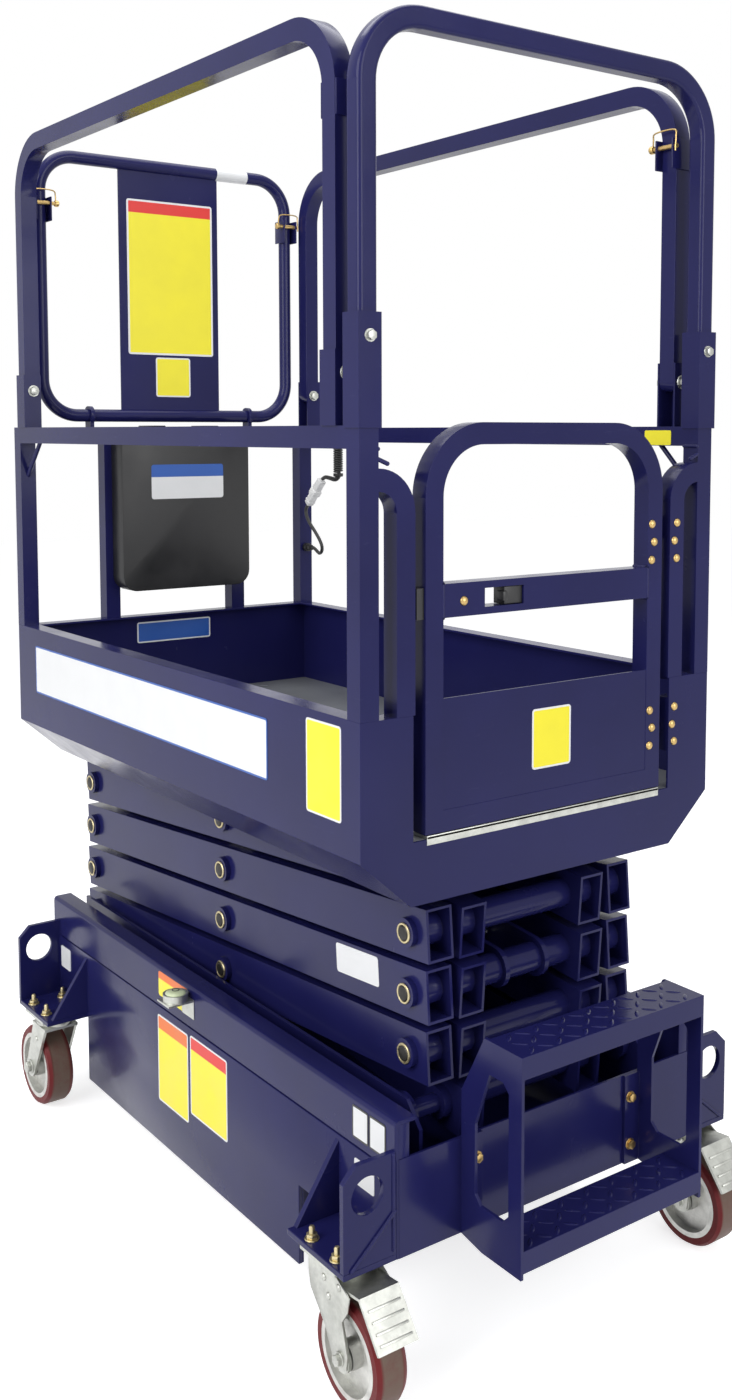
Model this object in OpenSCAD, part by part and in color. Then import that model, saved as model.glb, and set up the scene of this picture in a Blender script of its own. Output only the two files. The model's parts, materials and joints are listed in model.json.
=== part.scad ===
// Push-around scissor lift with a folding guard rail, in millimetres.
// X runs along the machine towards the gate, Z is up and the floor is at zero.

/* [Platform box] */
// Run of the platform box past the right pins
front_overhang = 74.7; // [70:0.1:90]
// Run of the platform box past the left pins
rear_overhang = 42.19; // [41:0.01:60]
// Width of the platform box
platform_width = 660; // [600:1:700]
// Top edge of the box sides above the floor
skirt_top = 928; // [880:1:980]
// Top face of the standing deck above the floor
deck_top = 756; // [752:1:790]
// Height at which the box sides turn inward
skirt_bend = 741; // [700:1:745]
// Lower edge of the box above the floor
box_bottom = 668; // [650:1:690]
// Inward run of the sloped lower sides
slope_run = 82; // [40:1:90]
// Sheet thickness of the box and the deck
box_sheet = 4; // [3:0.5:6]
// Width of the folded top edge
lip_width = 31; // [30:1:45]
// Width of the box end beside the gate opening
gate_side = 86; // [80:1:95]

/* [Guard rail] */
// Side of the square rail tube
rail_tube = 30; // [25:1:35]
// Top face of the mid rails above the floor
mid_rail_top = 1311; // [1250:1:1330]
// Top face of the guard rail above the floor
top_rail = 1848; // [1750:1:1950]
// Outer bend radius of the rail hoops
hoop_bend = 105; // [70:1:140]
// Wall thickness of the folding sleeves
sleeve_wall = 3; // [2:0.5:5]
// Height of the side sleeves above the mid rail
side_sleeve = 99; // [85:1:130]
// Height of the end sleeves above the mid rail
end_sleeve = 144; // [100:1:180]
// Height of the side pivots above the mid rail
side_pivot = 69; // [50:1:75]
// Radius of the sleeve pivot bolts
sleeve_bolt_r = 5; // [4:0.5:7]
// Gap between the side hoop and the end hoop
hoop_gap = 23; // [12:1:40]
// Radius of the back hoop tube
back_tube_r = 12.5; // [10:0.5:14]
// Height of the back hoop pivot above the mid rail
back_pivot = 24; // [20:1:30]
// Bend radius of the back hoop at the tube centre
back_bend = 70; // [40:1:100]
// Width of the flat panel in the back hoop
panel_width = 222; // [150:1:260]
// Side clearance of the back hoop to the side hoops
back_gap = 12; // [8:1:25]
// Distance of the gate posts from the corner posts
post_gap = 29; // [20:1:40]

/* [Gate] */
// Gap between the gate and the gate opening
gate_gap = 20; // [14:1:30]
// Gap between the gate and the deck
gate_lift = 6; // [5:1:15]
// Outer bend radius of the gate hoop
gate_bend = 100; // [60:1:120]
// Height of the gate top above the floor
gate_top = 1316; // [1250:1:1330]
// Underside of the gate mid bar above the floor
gate_bar = 1054; // [1000:1:1090]
// Height of the gate mid bar
gate_bar_h = 46; // [40:1:60]
// Top edge of the gate sheet above the floor
gate_sheet_top = 945; // [900:1:980]
// Distance of the latch slot from the gate side
latch_at = 72; // [60:1:80]
// Length of the latch slot
latch_slot = 70; // [50:1:90]
// Height of the upper gate hinge above the floor
hinge_high = 1138; // [1120:1:1160]
// Height of the lower gate hinge above the floor
hinge_low = 855; // [840:1:870]
// Half height of a gate hinge
hinge_half = 36; // [25:1:40]
// Radius of the hinge knuckles
knuckle_r = 6; // [5:0.5:7]
// Thickness of the hinge leaves
leaf_t = 4; // [3:0.5:5]

/* [Scissor arms] */
// Length of an arm between its end pins
arm_length = 1062.7; // [1050:0.1:1070]
// Gap between stacked arms when lowered
row_gap = 11.26; // [10:0.01:14]
// Height of an arm tube
arm_height = 76; // [60:1:80]
// Width of an arm tube
arm_width = 45; // [38:1:48]
// Wall thickness of an arm tube
arm_wall = 4; // [3:0.5:6]
// Inner face of the inner arms from the middle plane
inner_lane = 92; // [80:1:95]
// Gap between the inner and the outer arms
lane_gap = 14; // [8:1:16]
// Run of an arm past its right pin
right_over = 42; // [30:1:44]
// Run of an arm past its left pin
left_over = 33; // [25:1:35]
// Radius of the pins
pin_r = 14; // [10:0.5:16]
// Radius of the pin bosses
boss_r = 24; // [20:0.5:28]
// Radius of the pin heads
head_r = 21; // [18:0.5:24]
// Thickness of the pin heads
head_t = 9; // [6:0.5:10]
// Running clearance of pins in their bores
pin_clear = 0.08; // [0.05:0.01:0.1]
// Clearance of the open left pins in their bores
open_clear = 0.3; // [0.2:0.05:0.5]
// Axial play beside turning faces
side_play = 0.5; // [0.3:0.1:1]
// Radius of the cross tubes
cross_r = 22; // [20:0.5:26]
// Radius of the end rollers
roller_r = 30; // [26:0.5:32]
// Gap between a roller and its track
roller_gap = 0.6; // [0.3:0.1:1]
// Height of the base pivot above the floor
pivot_height = 340.5; // [335:0.5:345]

/* [Lift cylinder] */
// Place of the barrel eye along the first inner arm
barrel_at = 0.92; // [0.9:0.01:0.93]
// Place of the rod eye along the third inner arm
rod_at = 0.12; // [0.11:0.01:0.14]
// Outer radius of the barrel
barrel_r = 32; // [28:1:36]
// Bore radius of the barrel
barrel_bore = 26; // [22:1:27]
// Length of the barrel from its eye
barrel_length = 610; // [560:1:640]
// Length of the rod inside the barrel
rod_inside = 400; // [350:1:450]
// Length of the piston and of the gland
piston_length = 40; // [30:1:50]
// Closed end of the barrel beside its eye
barrel_end = 25; // [20:1:40]
// Radius of the piston rod
rod_r = 18; // [14:1:20]
// Radius of the eyes
eye_r = 30; // [26:1:32]
// Half width of the eyes
eye_half = 30; // [24:1:34]
// Thickness of the ears that hold the rod eye
ear_t = 8; // [6:1:12]

/* [Base] */
// Outer face of the base walls from the middle plane
base_half = 284; // [275:1:290]
// Wall thickness of the base
base_sheet = 4; // [3:0.5:6]
// Top of the base rim above the floor
rim_top = 385; // [380:1:392]
// Width of the folded rim
rim_width = 33; // [20:1:40]
// Height of the crease in the base walls
crease = 333; // [320:1:345]
// Step of the wall at the crease
crease_step = 1.5; // [1:0.5:3]
// Underside of the base walls above the floor
wall_bottom = 195; // [190:1:200]
// Run of the base past the right pins
base_nose = 90.7; // [85:0.1:97]
// Distance of the base rear end from the left pins
base_tail = 0.81; // [0:0.01:8]
// Underside of the hanging skirts above the floor
skirt_bottom = 73; // [60:1:100]
// Distance of the hanging skirts from the base front
skirt_nose = 239; // [230:1:260]
// Distance of the hanging skirts from the base rear end
skirt_tail = 159; // [155:1:180]
// Distance of the skirt end plates from the skirt ends
end_inset = 70; // [60:1:90]
// Top of the base tray above the floor
tray_top = 262; // [250:1:268]
// Outer face of the pivot plates from the middle plane
pivot_plate = 219; // [217:1:226]
// Thickness of the pivot plates
pivot_plate_t = 6; // [5:0.5:7]
// Top of the pivot plates above the floor
pivot_plate_top = 374; // [372:1:380]

/* [Caster brackets] */
// Reach of the caster brackets beside the base walls
bracket_reach = 86; // [80:1:100]
// Length of a bracket
bracket_length = 140; // [125:1:150]
// Thickness of the bracket plates
bracket_t = 9; // [6:0.5:12]
// Top of the holed plates above the floor
lug_top = 347; // [335:1:360]
// Corner cut of the holed plates
lug_cut = 21; // [10:1:30]
// Hole radius of the holed plates
lug_hole = 26; // [20:0.5:28]
// Height of the lug hole above the floor
lug_hole_z = 301; // [290:1:310]

/* [Casters] */
// Wheel radius
wheel_r = 75; // [70:1:76]
// Wheel width
wheel_width = 48; // [40:1:50]
// Thickness of the wheel tread
tread = 14; // [10:1:20]
// Offset of the wheel axle from the swivel axis
caster_trail = 45; // [35:1:50]
// Inset of the caster top plate from the bracket edges
plate_inset = 2; // [1:0.5:4]
// Side of the caster top plate
caster_plate = 86; // [80:1:90]
// Thickness of the caster top plate
caster_plate_t = 6; // [5:0.5:8]
// Radius of the swivel race
race_r = 31; // [26:1:34]
// Height of the swivel race
race_h = 16; // [12:1:20]
// Thickness of the fork legs
fork_t = 5; // [4:0.5:6]
// Gap between the fork legs and the wheel
fork_gap = 4; // [3:0.5:6]
// Radius of the wheel axle
axle_r = 8; // [6:0.5:9]
// Radius of the kingpin
kingpin_r = 9; // [7:0.5:10]
// Length of the brake pedal
pedal_width = 64; // [50:1:66]
// Sheet thickness of the brake pedal
pedal_t = 4; // [3:0.5:5]

/* [Ladder] */
// Reach of the ladder in front of the base
ladder_reach = 126; // [110:1:140]
// Outer face of the ladder stringers from the middle plane
ladder_half = 174; // [165:1:180]
// Thickness of the ladder sheet
ladder_t = 5; // [4:0.5:8]
// Top of the upper step above the floor
step_high = 491; // [470:1:500]
// Top of the lower step above the floor
step_low = 226; // [215:1:235]
// Depth of a step
step_depth = 71; // [60:1:80]
// Height of the step apron
step_apron = 31; // [20:1:36]
// Width of the ladder bolting flanges
flange_width = 30; // [22:1:36]

/* [Fittings] */
// Width of the document box
box_width = 286; // [250:1:290]
// Depth of the document box
box_depth = 50; // [35:1:60]
// Underside of the document box above the floor
box_low = 985; // [960:1:1000]
// Top of the document box above the floor
box_high = 1303; // [1290:1:1306]
// Corner radius of the document box
box_corner = 30; // [20:1:45]
// Radius of the bubble level
level_r = 21; // [18:1:24]
// Height of the bubble level
level_h = 12; // [9:1:16]
// Place of the bubble level along the machine
level_at = 20; // [0:1:60]
// Width of the cable carrier
carrier_width = 34; // [26:1:38]
// Height of the cable carrier
carrier_height = 62; // [50:1:72]

/* [Hidden] */
$fn = 48;
eps = 0.01;
paint = [0.18, 0.16, 0.38];
zinc = [0.72, 0.73, 0.70];
steel = [0.45, 0.45, 0.47];
black = [0.06, 0.06, 0.07];
red = [0.52, 0.14, 0.13];
grey = [0.62, 0.63, 0.64];
yellow = [0.93, 0.88, 0.15];
white = [0.92, 0.92, 0.90];

row_pitch = arm_height + row_gap;
rest_angle = asin(row_pitch / arm_length);
pin_run = arm_length * cos(rest_angle);
platform_length = round(pin_run + front_overhang + rear_overhang);
half_length = platform_length / 2;
half_width = platform_width / 2;
right_pin = half_length - front_overhang;
left_pin = right_pin - pin_run;
base_front = round(right_pin + base_nose);
base_rear = round(-left_pin - base_tail);
skirt_front = base_front - skirt_nose;
skirt_rear = base_rear - skirt_tail;
ladder_front = base_front + ladder_reach;
frame_shift = (half_length - ladder_front) / 2;
gate_opening = platform_width - 2 * gate_side;
deck_under = deck_top - box_sheet;
inner_out = inner_lane + arm_width;
outer_in = inner_out + lane_gap;
outer_out = outer_in + arm_width;
head_out = outer_out + head_t;
rail_y = half_width - rail_tube / 2;
mid_rail_low = mid_rail_top - rail_tube;
post_x = half_length - rail_tube / 2;
side_hinge_z = mid_rail_top + side_pivot;
side_front_x = half_length - rail_tube - hoop_gap;
back_x = -half_length + back_tube_r;
side_rear_x = back_x + back_tube_r + 5;
back_hinge_z = mid_rail_top + back_pivot;
back_half = half_width - rail_tube - back_gap;
gate_post_y = half_width - rail_tube - post_gap - rail_tube / 2;
gate_half = gate_opening / 2 - gate_gap;
gate_low = deck_top + gate_lift;
hinge_y = gate_half + knuckle_r + 3;
hinge_x = half_length - rail_tube - knuckle_r;
barrel_x = -barrel_at * arm_length;
rod_x = -rod_at * arm_length;
barrel_eye = arm_point(0, barrel_at);
rod_eye = arm_point(2, rod_at);
cylinder_span = norm(rod_eye - barrel_eye);
cylinder_angle = atan2(rod_eye[1] - barrel_eye[1], rod_eye[0] - barrel_eye[0]);
bracket_half = base_half + bracket_reach;
caster_half = base_half + bracket_reach / 2;
front_caster_x = base_front - bracket_length / 2 + 3;
rear_bracket_x = base_rear - 20;
rear_caster_x = -rear_bracket_x + bracket_length / 2;
bracket_top = wall_bottom + bracket_t;
race_top = wall_bottom - caster_plate_t - side_play;
crown_z = race_top - race_h;
leg_in = wheel_width / 2 + fork_gap;
ladder_low = step_low - step_apron - 8;

// Routes of the control cord, from the rear post face and the underside of the mid rail
coil_low = [129, 0, -66];
coil_r = 10.5;
boot_route = [coil_low, [129, 0, -73], [121, -2, -79], [107, -5, -77], [93, -8, -75], [82, -9, -79]];
boot_r = 4;
plug_route = [[82, -9, -79], [23, -9, -138]];
plug_r = 11;
cable_route = [[23, -9, -138], [18, -9, -143], [15, -9, -151], [17, -9, -160], [24, -9, -170], [34, -9, -180],
               [46, -8, -191], [58, -7, -203], [67, -6, -214], [71, -4, -226], [66, -2, -237], [55, -1, -241],
               [43, 0, -236], [32, 0, -231], [22, 0, -231]];
cable_r = 3.75;
gland_r = 9;

// Point on an inner arm of the lowered scissor, as X and Z
function arm_point(row, share) =
    [right_pin - share * pin_run, pivot_height + (row + share) * row_pitch];

// Moves the drawing from the platform middle to the middle of the whole machine
module frame() {
    translate([frame_shift, 0, 0]) children();
}

// Draws a part and its mirror image across the middle plane
module both_sides() {
    children();
    mirror([0, 1, 0]) children();
}

// Round bar along Y between two faces
module y_bar(r, y_from, y_to) {
    translate([0, y_to, 0]) rotate([90, 0, 0]) cylinder(r = r, h = y_to - y_from);
}

// Round bar along X between two faces
module x_bar(r, x_from, x_to) {
    translate([x_from, 0, 0]) rotate([0, 90, 0]) cylinder(r = r, h = x_to - x_from);
}

// Unit direction of a route at one of its points
function heading(route, i) =
    let (step = route[min(i + 1, len(route) - 1)] - route[max(i - 1, 0)]) step / norm(step);

// Tube swept along a route that lies near the X and Z plane
module swept_tube(route, r, sides) {
    last = len(route) - 1;
    points = [for (i = [0:last], k = [0:sides - 1])
        let (ahead = heading(route, i), across = [0, 1, 0] - ahead * ahead[1], a = 360 * (k + 0.5) / sides)
        route[i] + r * (cos(a) * across / norm(across) + sin(a) * cross(ahead, across / norm(across)))];
    walls = [for (i = [0:last - 1], k = [0:sides - 1])
        let (a = i * sides + k, b = i * sides + (k + 1) % sides)
        each [[a, a + sides, b], [b, a + sides, b + sides]]];
    caps = [[for (k = [0:sides - 1]) k], [for (k = [sides - 1:-1:0]) last * sides + k]];
    polyhedron(points, concat(walls, caps));
}

// Sheet outline in X and Z with a thickness along Y
module xz_sheet(y_from, y_to) {
    translate([0, y_to, 0]) rotate([90, 0, 0]) linear_extrude(height = y_to - y_from) children();
}

// Sheet outline in Y and Z with a thickness along X
module yz_sheet(x_from, x_to) {
    translate([x_from, 0, 0]) rotate([90, 0, 90]) linear_extrude(height = x_to - x_from) children();
}

// Quarter bend of a square tube, from up to the right
module square_bend(r, a) {
    rotate([90, 0, 0]) rotate_extrude(angle = 90) translate([r - a, -a / 2]) square(a);
}

// Square-tube hoop in X and Z, with its top face at zero
module square_hoop(span, leg, r, a) {
    translate([-span / 2 + r, -a / 2, -a]) cube([span - 2 * r, a, a]);
    for (side = [0, 1]) mirror([side, 0, 0]) {
        translate([span / 2 - r, 0, -r]) square_bend(r, a);
        translate([span / 2 - a, -a / 2, -leg]) cube([a, a, leg - r]);
    }
}

// Outline of the platform box seen from its end
module box_outline() {
    polygon([[-half_width, skirt_top], [-half_width, skirt_bend], [slope_run - half_width, box_bottom],
             [half_width - slope_run, box_bottom], [half_width, skirt_bend], [half_width, skirt_top]]);
}

// Section of one folded box side
module side_section() {
    polygon([[half_width, skirt_top], [half_width, skirt_bend], [half_width - slope_run, box_bottom],
             [half_width - slope_run - box_sheet, box_bottom], [half_width - box_sheet, skirt_bend],
             [half_width - box_sheet, skirt_top - box_sheet], [half_width - lip_width, skirt_top - box_sheet],
             [half_width - lip_width, skirt_top]]);
}

module platform_box() {
    frame() color(paint) {
        both_sides() yz_sheet(-half_length, half_length) side_section();
        yz_sheet(-half_length, box_sheet - half_length) box_outline();
        difference() {
            yz_sheet(half_length - box_sheet, half_length) box_outline();
            translate([half_length - 2 * box_sheet, -gate_opening / 2, deck_top])
                cube([4 * box_sheet, gate_opening, skirt_top]);
        }
        translate([-half_length, -half_width, skirt_top - box_sheet])
            cube([lip_width, platform_width, box_sheet]);
        both_sides() translate([half_length - lip_width, gate_opening / 2, skirt_top - box_sheet])
            cube([lip_width, half_width - gate_opening / 2, box_sheet]);
        hinge_block();
    }
}

// Block behind the end plate that carries the lower gate hinge
module hinge_block() {
    translate([half_length - rail_tube, gate_opening / 2, hinge_low - hinge_half - 6])
        cube([rail_tube - box_sheet, rail_tube, 2 * hinge_half + 12]);
    translate([0, 0, hinge_low]) fixed_hinge(gate_opening / 2 + rail_tube);
}

// Fixed half of a gate hinge, with its pin
module fixed_hinge(y_to) {
    translate([hinge_x, hinge_y, -hinge_half]) cylinder(r = knuckle_r, h = hinge_half - side_play);
    translate([hinge_x, hinge_y, -hinge_half]) cylinder(r = knuckle_r / 2, h = 2 * hinge_half);
    translate([half_length - rail_tube - leaf_t, hinge_y, -hinge_half])
        cube([leaf_t, y_to - hinge_y, hinge_half - side_play]);
}

module platform_deck() {
    frame() color(grey)
        translate([box_sheet - half_length, box_sheet - half_width, deck_under])
            cube([platform_length - 2 * box_sheet, platform_width - 2 * box_sheet, box_sheet]);
}

module platform_tracks() {
    top_row = pivot_height + 4 * row_pitch;
    track_z = top_row + roller_r + roller_gap;
    lug_y = inner_lane + 8;
    frame() color(paint) both_sides() {
        translate([10 - half_length, outer_in, track_z])
            cube([half_length - 120, arm_width, deck_under - track_z]);
        difference() {
            xz_sheet(lug_y, lug_y + 24) union() {
                translate([right_pin, top_row]) circle(boss_r + 4);
                translate([right_pin - boss_r - 4, top_row]) square([2 * boss_r + 8, deck_under - top_row]);
            }
            translate([right_pin, 0, top_row]) y_bar(pin_r + pin_clear, lug_y - 1, lug_y + 25);
        }
    }
}

module guard_posts() {
    frame() color(paint) {
        both_sides() {
            for (end = [-1, 1]) translate([end * post_x - rail_tube / 2, half_width - rail_tube, skirt_top])
                cube([rail_tube, rail_tube, mid_rail_top - skirt_top]);
            translate([-half_length, half_width - rail_tube, mid_rail_low])
                cube([platform_length, rail_tube, rail_tube]);
            gate_post();
            end_sleeves();
            translate([side_front_x - rail_tube / 2, 0, 0]) side_sleeves();
            translate([side_rear_x + rail_tube / 2, 0, 0]) side_sleeves();
            rear_post();
            back_clamp();
        }
        mirror([0, 1, 0]) corner_stay();
        mirror([1, 0, 0]) corner_stay();
        translate([-half_length, -half_width, mid_rail_low]) cube([rail_tube, platform_width, rail_tube]);
        translate([0, 0, hinge_high]) fixed_hinge(gate_post_y + rail_tube / 2);
    }
}

// Post beside the gate, bent over to the corner post
module gate_post() {
    r = rail_tube + post_gap;
    bend_z = mid_rail_low - 25 - r;
    translate([half_length - rail_tube, gate_post_y - rail_tube / 2, skirt_top])
        cube([rail_tube, rail_tube, bend_z - skirt_top]);
    translate([post_x, gate_post_y - rail_tube / 2 + r, bend_z])
        rotate([0, 0, -90]) square_bend(r, rail_tube);
}

// Sleeve on a corner post that takes a leg of the end hoop
module end_sleeves() {
    outer = rail_tube + 2 * sleeve_wall;
    translate([post_x - outer / 2, rail_y - outer / 2, mid_rail_top - sleeve_wall]) difference() {
        cube([outer, outer, end_sleeve + sleeve_wall]);
        translate([sleeve_wall, sleeve_wall, sleeve_wall])
            cube([rail_tube, rail_tube, end_sleeve + sleeve_wall]);
    }
}

// Open sleeve on a mid rail that carries a leg of a side hoop on its bolt
module side_sleeves() {
    inner = rail_tube + 2 * side_play;
    outer = inner + 2 * sleeve_wall;
    for (side = [0, 1]) mirror([side, 0, 0])
        translate([inner / 2, half_width - rail_tube, mid_rail_top])
            cube([sleeve_wall, rail_tube + side_play + sleeve_wall, side_sleeve]);
    translate([-outer / 2, half_width + side_play, mid_rail_top]) cube([outer, sleeve_wall, side_sleeve]);
    translate([0, rail_y, side_hinge_z]) x_bar(sleeve_bolt_r, -outer / 2 - 4, outer / 2 + 4);
}

// Rear post between the box and the mid rail
module rear_post() {
    translate([-half_length, box_width / 2 - rail_tube / 2, skirt_top])
        cube([rail_tube, rail_tube, mid_rail_low - skirt_top]);
}

// Clamp plate on the rear mid rail that the back hoop turns in
module back_clamp() {
    clamp_y = back_half - back_bend - back_tube_r - 30;
    difference() {
        xz_sheet(clamp_y, clamp_y + 8) union() {
            translate([back_x, back_hinge_z]) circle(back_tube_r + 6);
            translate([back_x - back_tube_r, mid_rail_top - eps]) square([2 * back_tube_r, back_pivot]);
        }
        translate([back_x, 0, back_hinge_z]) y_bar(back_tube_r + pin_clear, clamp_y - 1, clamp_y + 9);
        translate([-half_length - 50, clamp_y - 1, mid_rail_top]) cube([50, 10, 100]);
    }
}

// Thin diagonal stay between a corner post and the mid rail
module corner_stay() {
    run = 60;
    translate([rail_tube - half_length, rail_y, mid_rail_low - run]) rotate([0, 45, 0])
        translate([0, 0, -4]) cylinder(r = 4, h = run * sqrt(2) + 8);
}

module end_hoop() {
    frame() color(paint)
        translate([post_x, 0, top_rail]) rotate([0, 0, 90])
            square_hoop(platform_width, top_rail - mid_rail_top, hoop_bend, rail_tube);
}

// Folding side hoop on the positive Y side
module side_hoop() {
    span = side_front_x - side_rear_x;
    middle = (side_front_x + side_rear_x) / 2;
    difference() {
        union() {
            translate([middle, rail_y, top_rail])
                square_hoop(span, top_rail - side_hinge_z, hoop_bend, rail_tube);
            for (x = [side_rear_x, side_front_x - rail_tube])
                translate([x, rail_y, side_hinge_z]) x_bar(rail_tube / 2, 0, rail_tube);
        }
        translate([0, rail_y, side_hinge_z])
            x_bar(sleeve_bolt_r + pin_clear, side_rear_x - 1, side_front_x + 1);
    }
}

module left_hoop() {
    frame() color(paint) mirror([0, 1, 0]) side_hoop();
}

module right_hoop() {
    frame() color(paint) side_hoop();
}

module back_hoop() {
    half = back_half - back_tube_r;
    low = back_hinge_z;
    high = top_rail - back_tube_r;
    frame() color(paint) translate([back_x, 0, 0]) {
        for (z = [low, high]) translate([0, 0, z]) y_bar(back_tube_r, back_bend - half, half - back_bend);
        both_sides() {
            translate([0, half, low + back_bend]) cylinder(r = back_tube_r, h = high - low - 2 * back_bend);
            translate([0, half - back_bend, high - back_bend]) back_corner();
            translate([0, half - back_bend, low + back_bend]) mirror([0, 0, 1]) back_corner();
        }
        translate([-1.5, -panel_width / 2, low]) cube([3, panel_width, high - low]);
    }
}

// Quarter bend of the round back hoop in Y and Z
module back_corner() {
    rotate([90, 0, 90]) rotate_extrude(angle = 90) translate([back_bend, 0]) circle(back_tube_r);
}

module document_box() {
    r = box_corner;
    half = box_width / 2;
    x = rail_tube - half_length;
    frame() color(black) yz_sheet(x, x + box_depth) union() {
        translate([-half, box_low + r]) square([box_width, box_high - box_low - r]);
        translate([r - half, box_low]) square([box_width - 2 * r, r]);
        for (side = [-1, 1]) translate([side * (half - r), box_low + r]) circle(r);
    }
}

// Moves a drawing to the right rear post, below the mid rail
module at_rear_post() {
    frame() translate([rail_tube - half_length, rail_y, mid_rail_low]) children();
}

module curly_cord() {
    at_rear_post() color(black) translate(coil_low) cylinder(r = coil_r, h = -coil_low[2]);
}

module cord_connector() {
    at_rear_post() color(white) {
        swept_tube(boot_route, boot_r, 10);
        swept_tube(plug_route, plug_r, 4);
    }
}

module control_cable() {
    at_rear_post() color(black) swept_tube(cable_route, cable_r, 10);
}

module cable_gland() {
    end = cable_route[len(cable_route) - 1];
    at_rear_post() color(black) translate([0, end[1], end[2]]) {
        x_bar(gland_r, 0, end[0] / 2);
        x_bar(gland_r * 0.7, 0, end[0]);
    }
}

module gate_frame() {
    span = 2 * gate_half;
    inside = span - 2 * rail_tube;
    slot_z = gate_bar + gate_bar_h / 2;
    frame() color(paint) {
        translate([post_x, 0, gate_top]) rotate([0, 0, 90])
            square_hoop(span, gate_top - gate_low, gate_bend, rail_tube);
        translate([half_length - rail_tube, -inside / 2, gate_low]) cube([rail_tube, inside, rail_tube]);
        difference() {
            translate([half_length - rail_tube, -inside / 2, gate_bar]) cube([rail_tube, inside, gate_bar_h]);
            translate([half_length - 2 * rail_tube, latch_at - inside / 2, slot_z - 13])
                cube([3 * rail_tube, latch_slot, 26]);
        }
        translate([half_length - 4, -inside / 2, gate_low]) cube([3, inside, gate_sheet_top - gate_low]);
        for (z = [hinge_low, hinge_high]) translate([0, 0, z]) gate_hinge();
    }
}

// Moving half of a gate hinge
module gate_hinge() {
    difference() {
        union() {
            translate([hinge_x, hinge_y, side_play]) cylinder(r = knuckle_r, h = hinge_half - side_play);
            translate([half_length - rail_tube - leaf_t, gate_half - rail_tube + leaf_t, side_play])
                cube([leaf_t, hinge_y - gate_half + rail_tube - leaf_t, hinge_half - side_play]);
        }
        translate([hinge_x, hinge_y, 0]) cylinder(r = knuckle_r / 2 + pin_clear, h = hinge_half + 1);
    }
}

module gate_latch() {
    frame() color(black)
        translate([half_length - rail_tube + 4, -gate_half - 12, gate_bar])
            cube([rail_tube - 8, 12, gate_bar_h - 4]);
}

// Pair of arm tubes along minus X from the right pin at the origin
module arm_pair(lane) {
    length = arm_length + right_over + left_over;
    both_sides() difference() {
        translate([-arm_length - left_over, lane, -arm_height / 2]) cube([length, arm_width, arm_height]);
        translate([-arm_length - left_over - 1, lane + arm_wall, arm_wall - arm_height / 2])
            cube([length + 2, arm_width - 2 * arm_wall, arm_height - 2 * arm_wall]);
    }
    for (x = [0, -arm_length / 2, -arm_length])
        both_sides() translate([x, 0, 0]) y_bar(boss_r, lane + arm_wall / 2, lane + arm_width - arm_wall / 2);
}

// Inner arms of one stage, bored for their pins
module inner_arms() {
    difference() {
        arm_pair(inner_lane);
        for (x = [0, -arm_length / 2, -arm_length])
            translate([x, 0, 0]) y_bar(pin_r + pin_clear, -inner_out - 1, inner_out + 1);
    }
}

// Centre and left pins of one stage, with the spacers and the cross tube
module inner_pins(row) {
    translate([-arm_length, 0, 0]) y_bar(pin_r, -head_out, head_out);
    both_sides() {
        translate([-arm_length / 2, 0, 0]) y_bar(pin_r, inner_lane, head_out);
        for (x = [-arm_length / 2, -arm_length]) translate([x, 0, 0]) {
            y_bar(boss_r, inner_out, outer_in - side_play);
            pin_head(row, x);
        }
    }
    difference() {
        union() {
            both_sides() y_bar(boss_r, inner_out, outer_in - side_play);
            y_bar(cross_r, -inner_lane, inner_lane);
            if (row == 2) rod_ears();
        }
        if (row > 0) y_bar(pin_r + pin_clear, -outer_out, outer_out);
    }
    if (row == 0) base_shaft();
}

// Head outside the outer arm, or the roller of the topmost left pins
module pin_head(row, x) {
    if (row == 3 && x < -arm_length * 0.9) y_bar(roller_r, outer_in + 4, outer_out - 2);
    else y_bar(head_r, outer_out + side_play, head_out);
}

// Base shaft of the first stage and the cross bar that the barrel turns on
module base_shaft() {
    y_bar(pin_r, -pivot_plate - 4, pivot_plate + 4);
    translate([barrel_x, 0, 0]) y_bar(rod_r, -inner_lane, inner_lane);
}

// Ears on the third cross tube with the rod eye between them
module rod_ears() {
    both_sides() difference() {
        xz_sheet(eye_half + 4, eye_half + 4 + ear_t) union() {
            translate([rod_x, 0]) circle(eye_r);
            translate([rod_x, -eye_r]) square([-rod_x, 2 * eye_r]);
            circle(eye_r);
        }
        translate([rod_x, 0, 0]) y_bar(pin_r, eye_half, eye_half + 2 * ear_t);
    }
}

// Outer arms of one stage, bored for the pins
module outer_arms() {
    difference() {
        arm_pair(outer_in);
        y_bar(pin_r + pin_clear, -outer_out - 1, outer_out + 1);
        for (x = [-arm_length / 2, -arm_length])
            translate([x, 0, 0]) y_bar(pin_r + open_clear, -outer_out - 1, outer_out + 1);
    }
}

// Right pins of one stage, and the roller shaft of the lowest
module outer_pins(row) {
    y_bar(pin_r, -head_out, head_out);
    both_sides() y_bar(head_r, outer_out, head_out);
    if (row == 0) translate([-arm_length, 0, 0]) {
        y_bar(pin_r, -head_out, head_out);
        both_sides() y_bar(head_r, outer_out, head_out);
        both_sides() y_bar(roller_r, inner_lane + 4, inner_out - 4);
    }
}

// Moves a drawing to the right pin of an inner arm
module place_inner(row) {
    frame() translate([right_pin, 0, pivot_height + row * row_pitch]) rotate([0, rest_angle, 0]) children();
}

// Moves a drawing to the right pin of an outer arm
module place_outer(row) {
    frame() translate([right_pin, 0, pivot_height + (row + 1) * row_pitch])
        rotate([0, -rest_angle, 0]) children();
}

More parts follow.
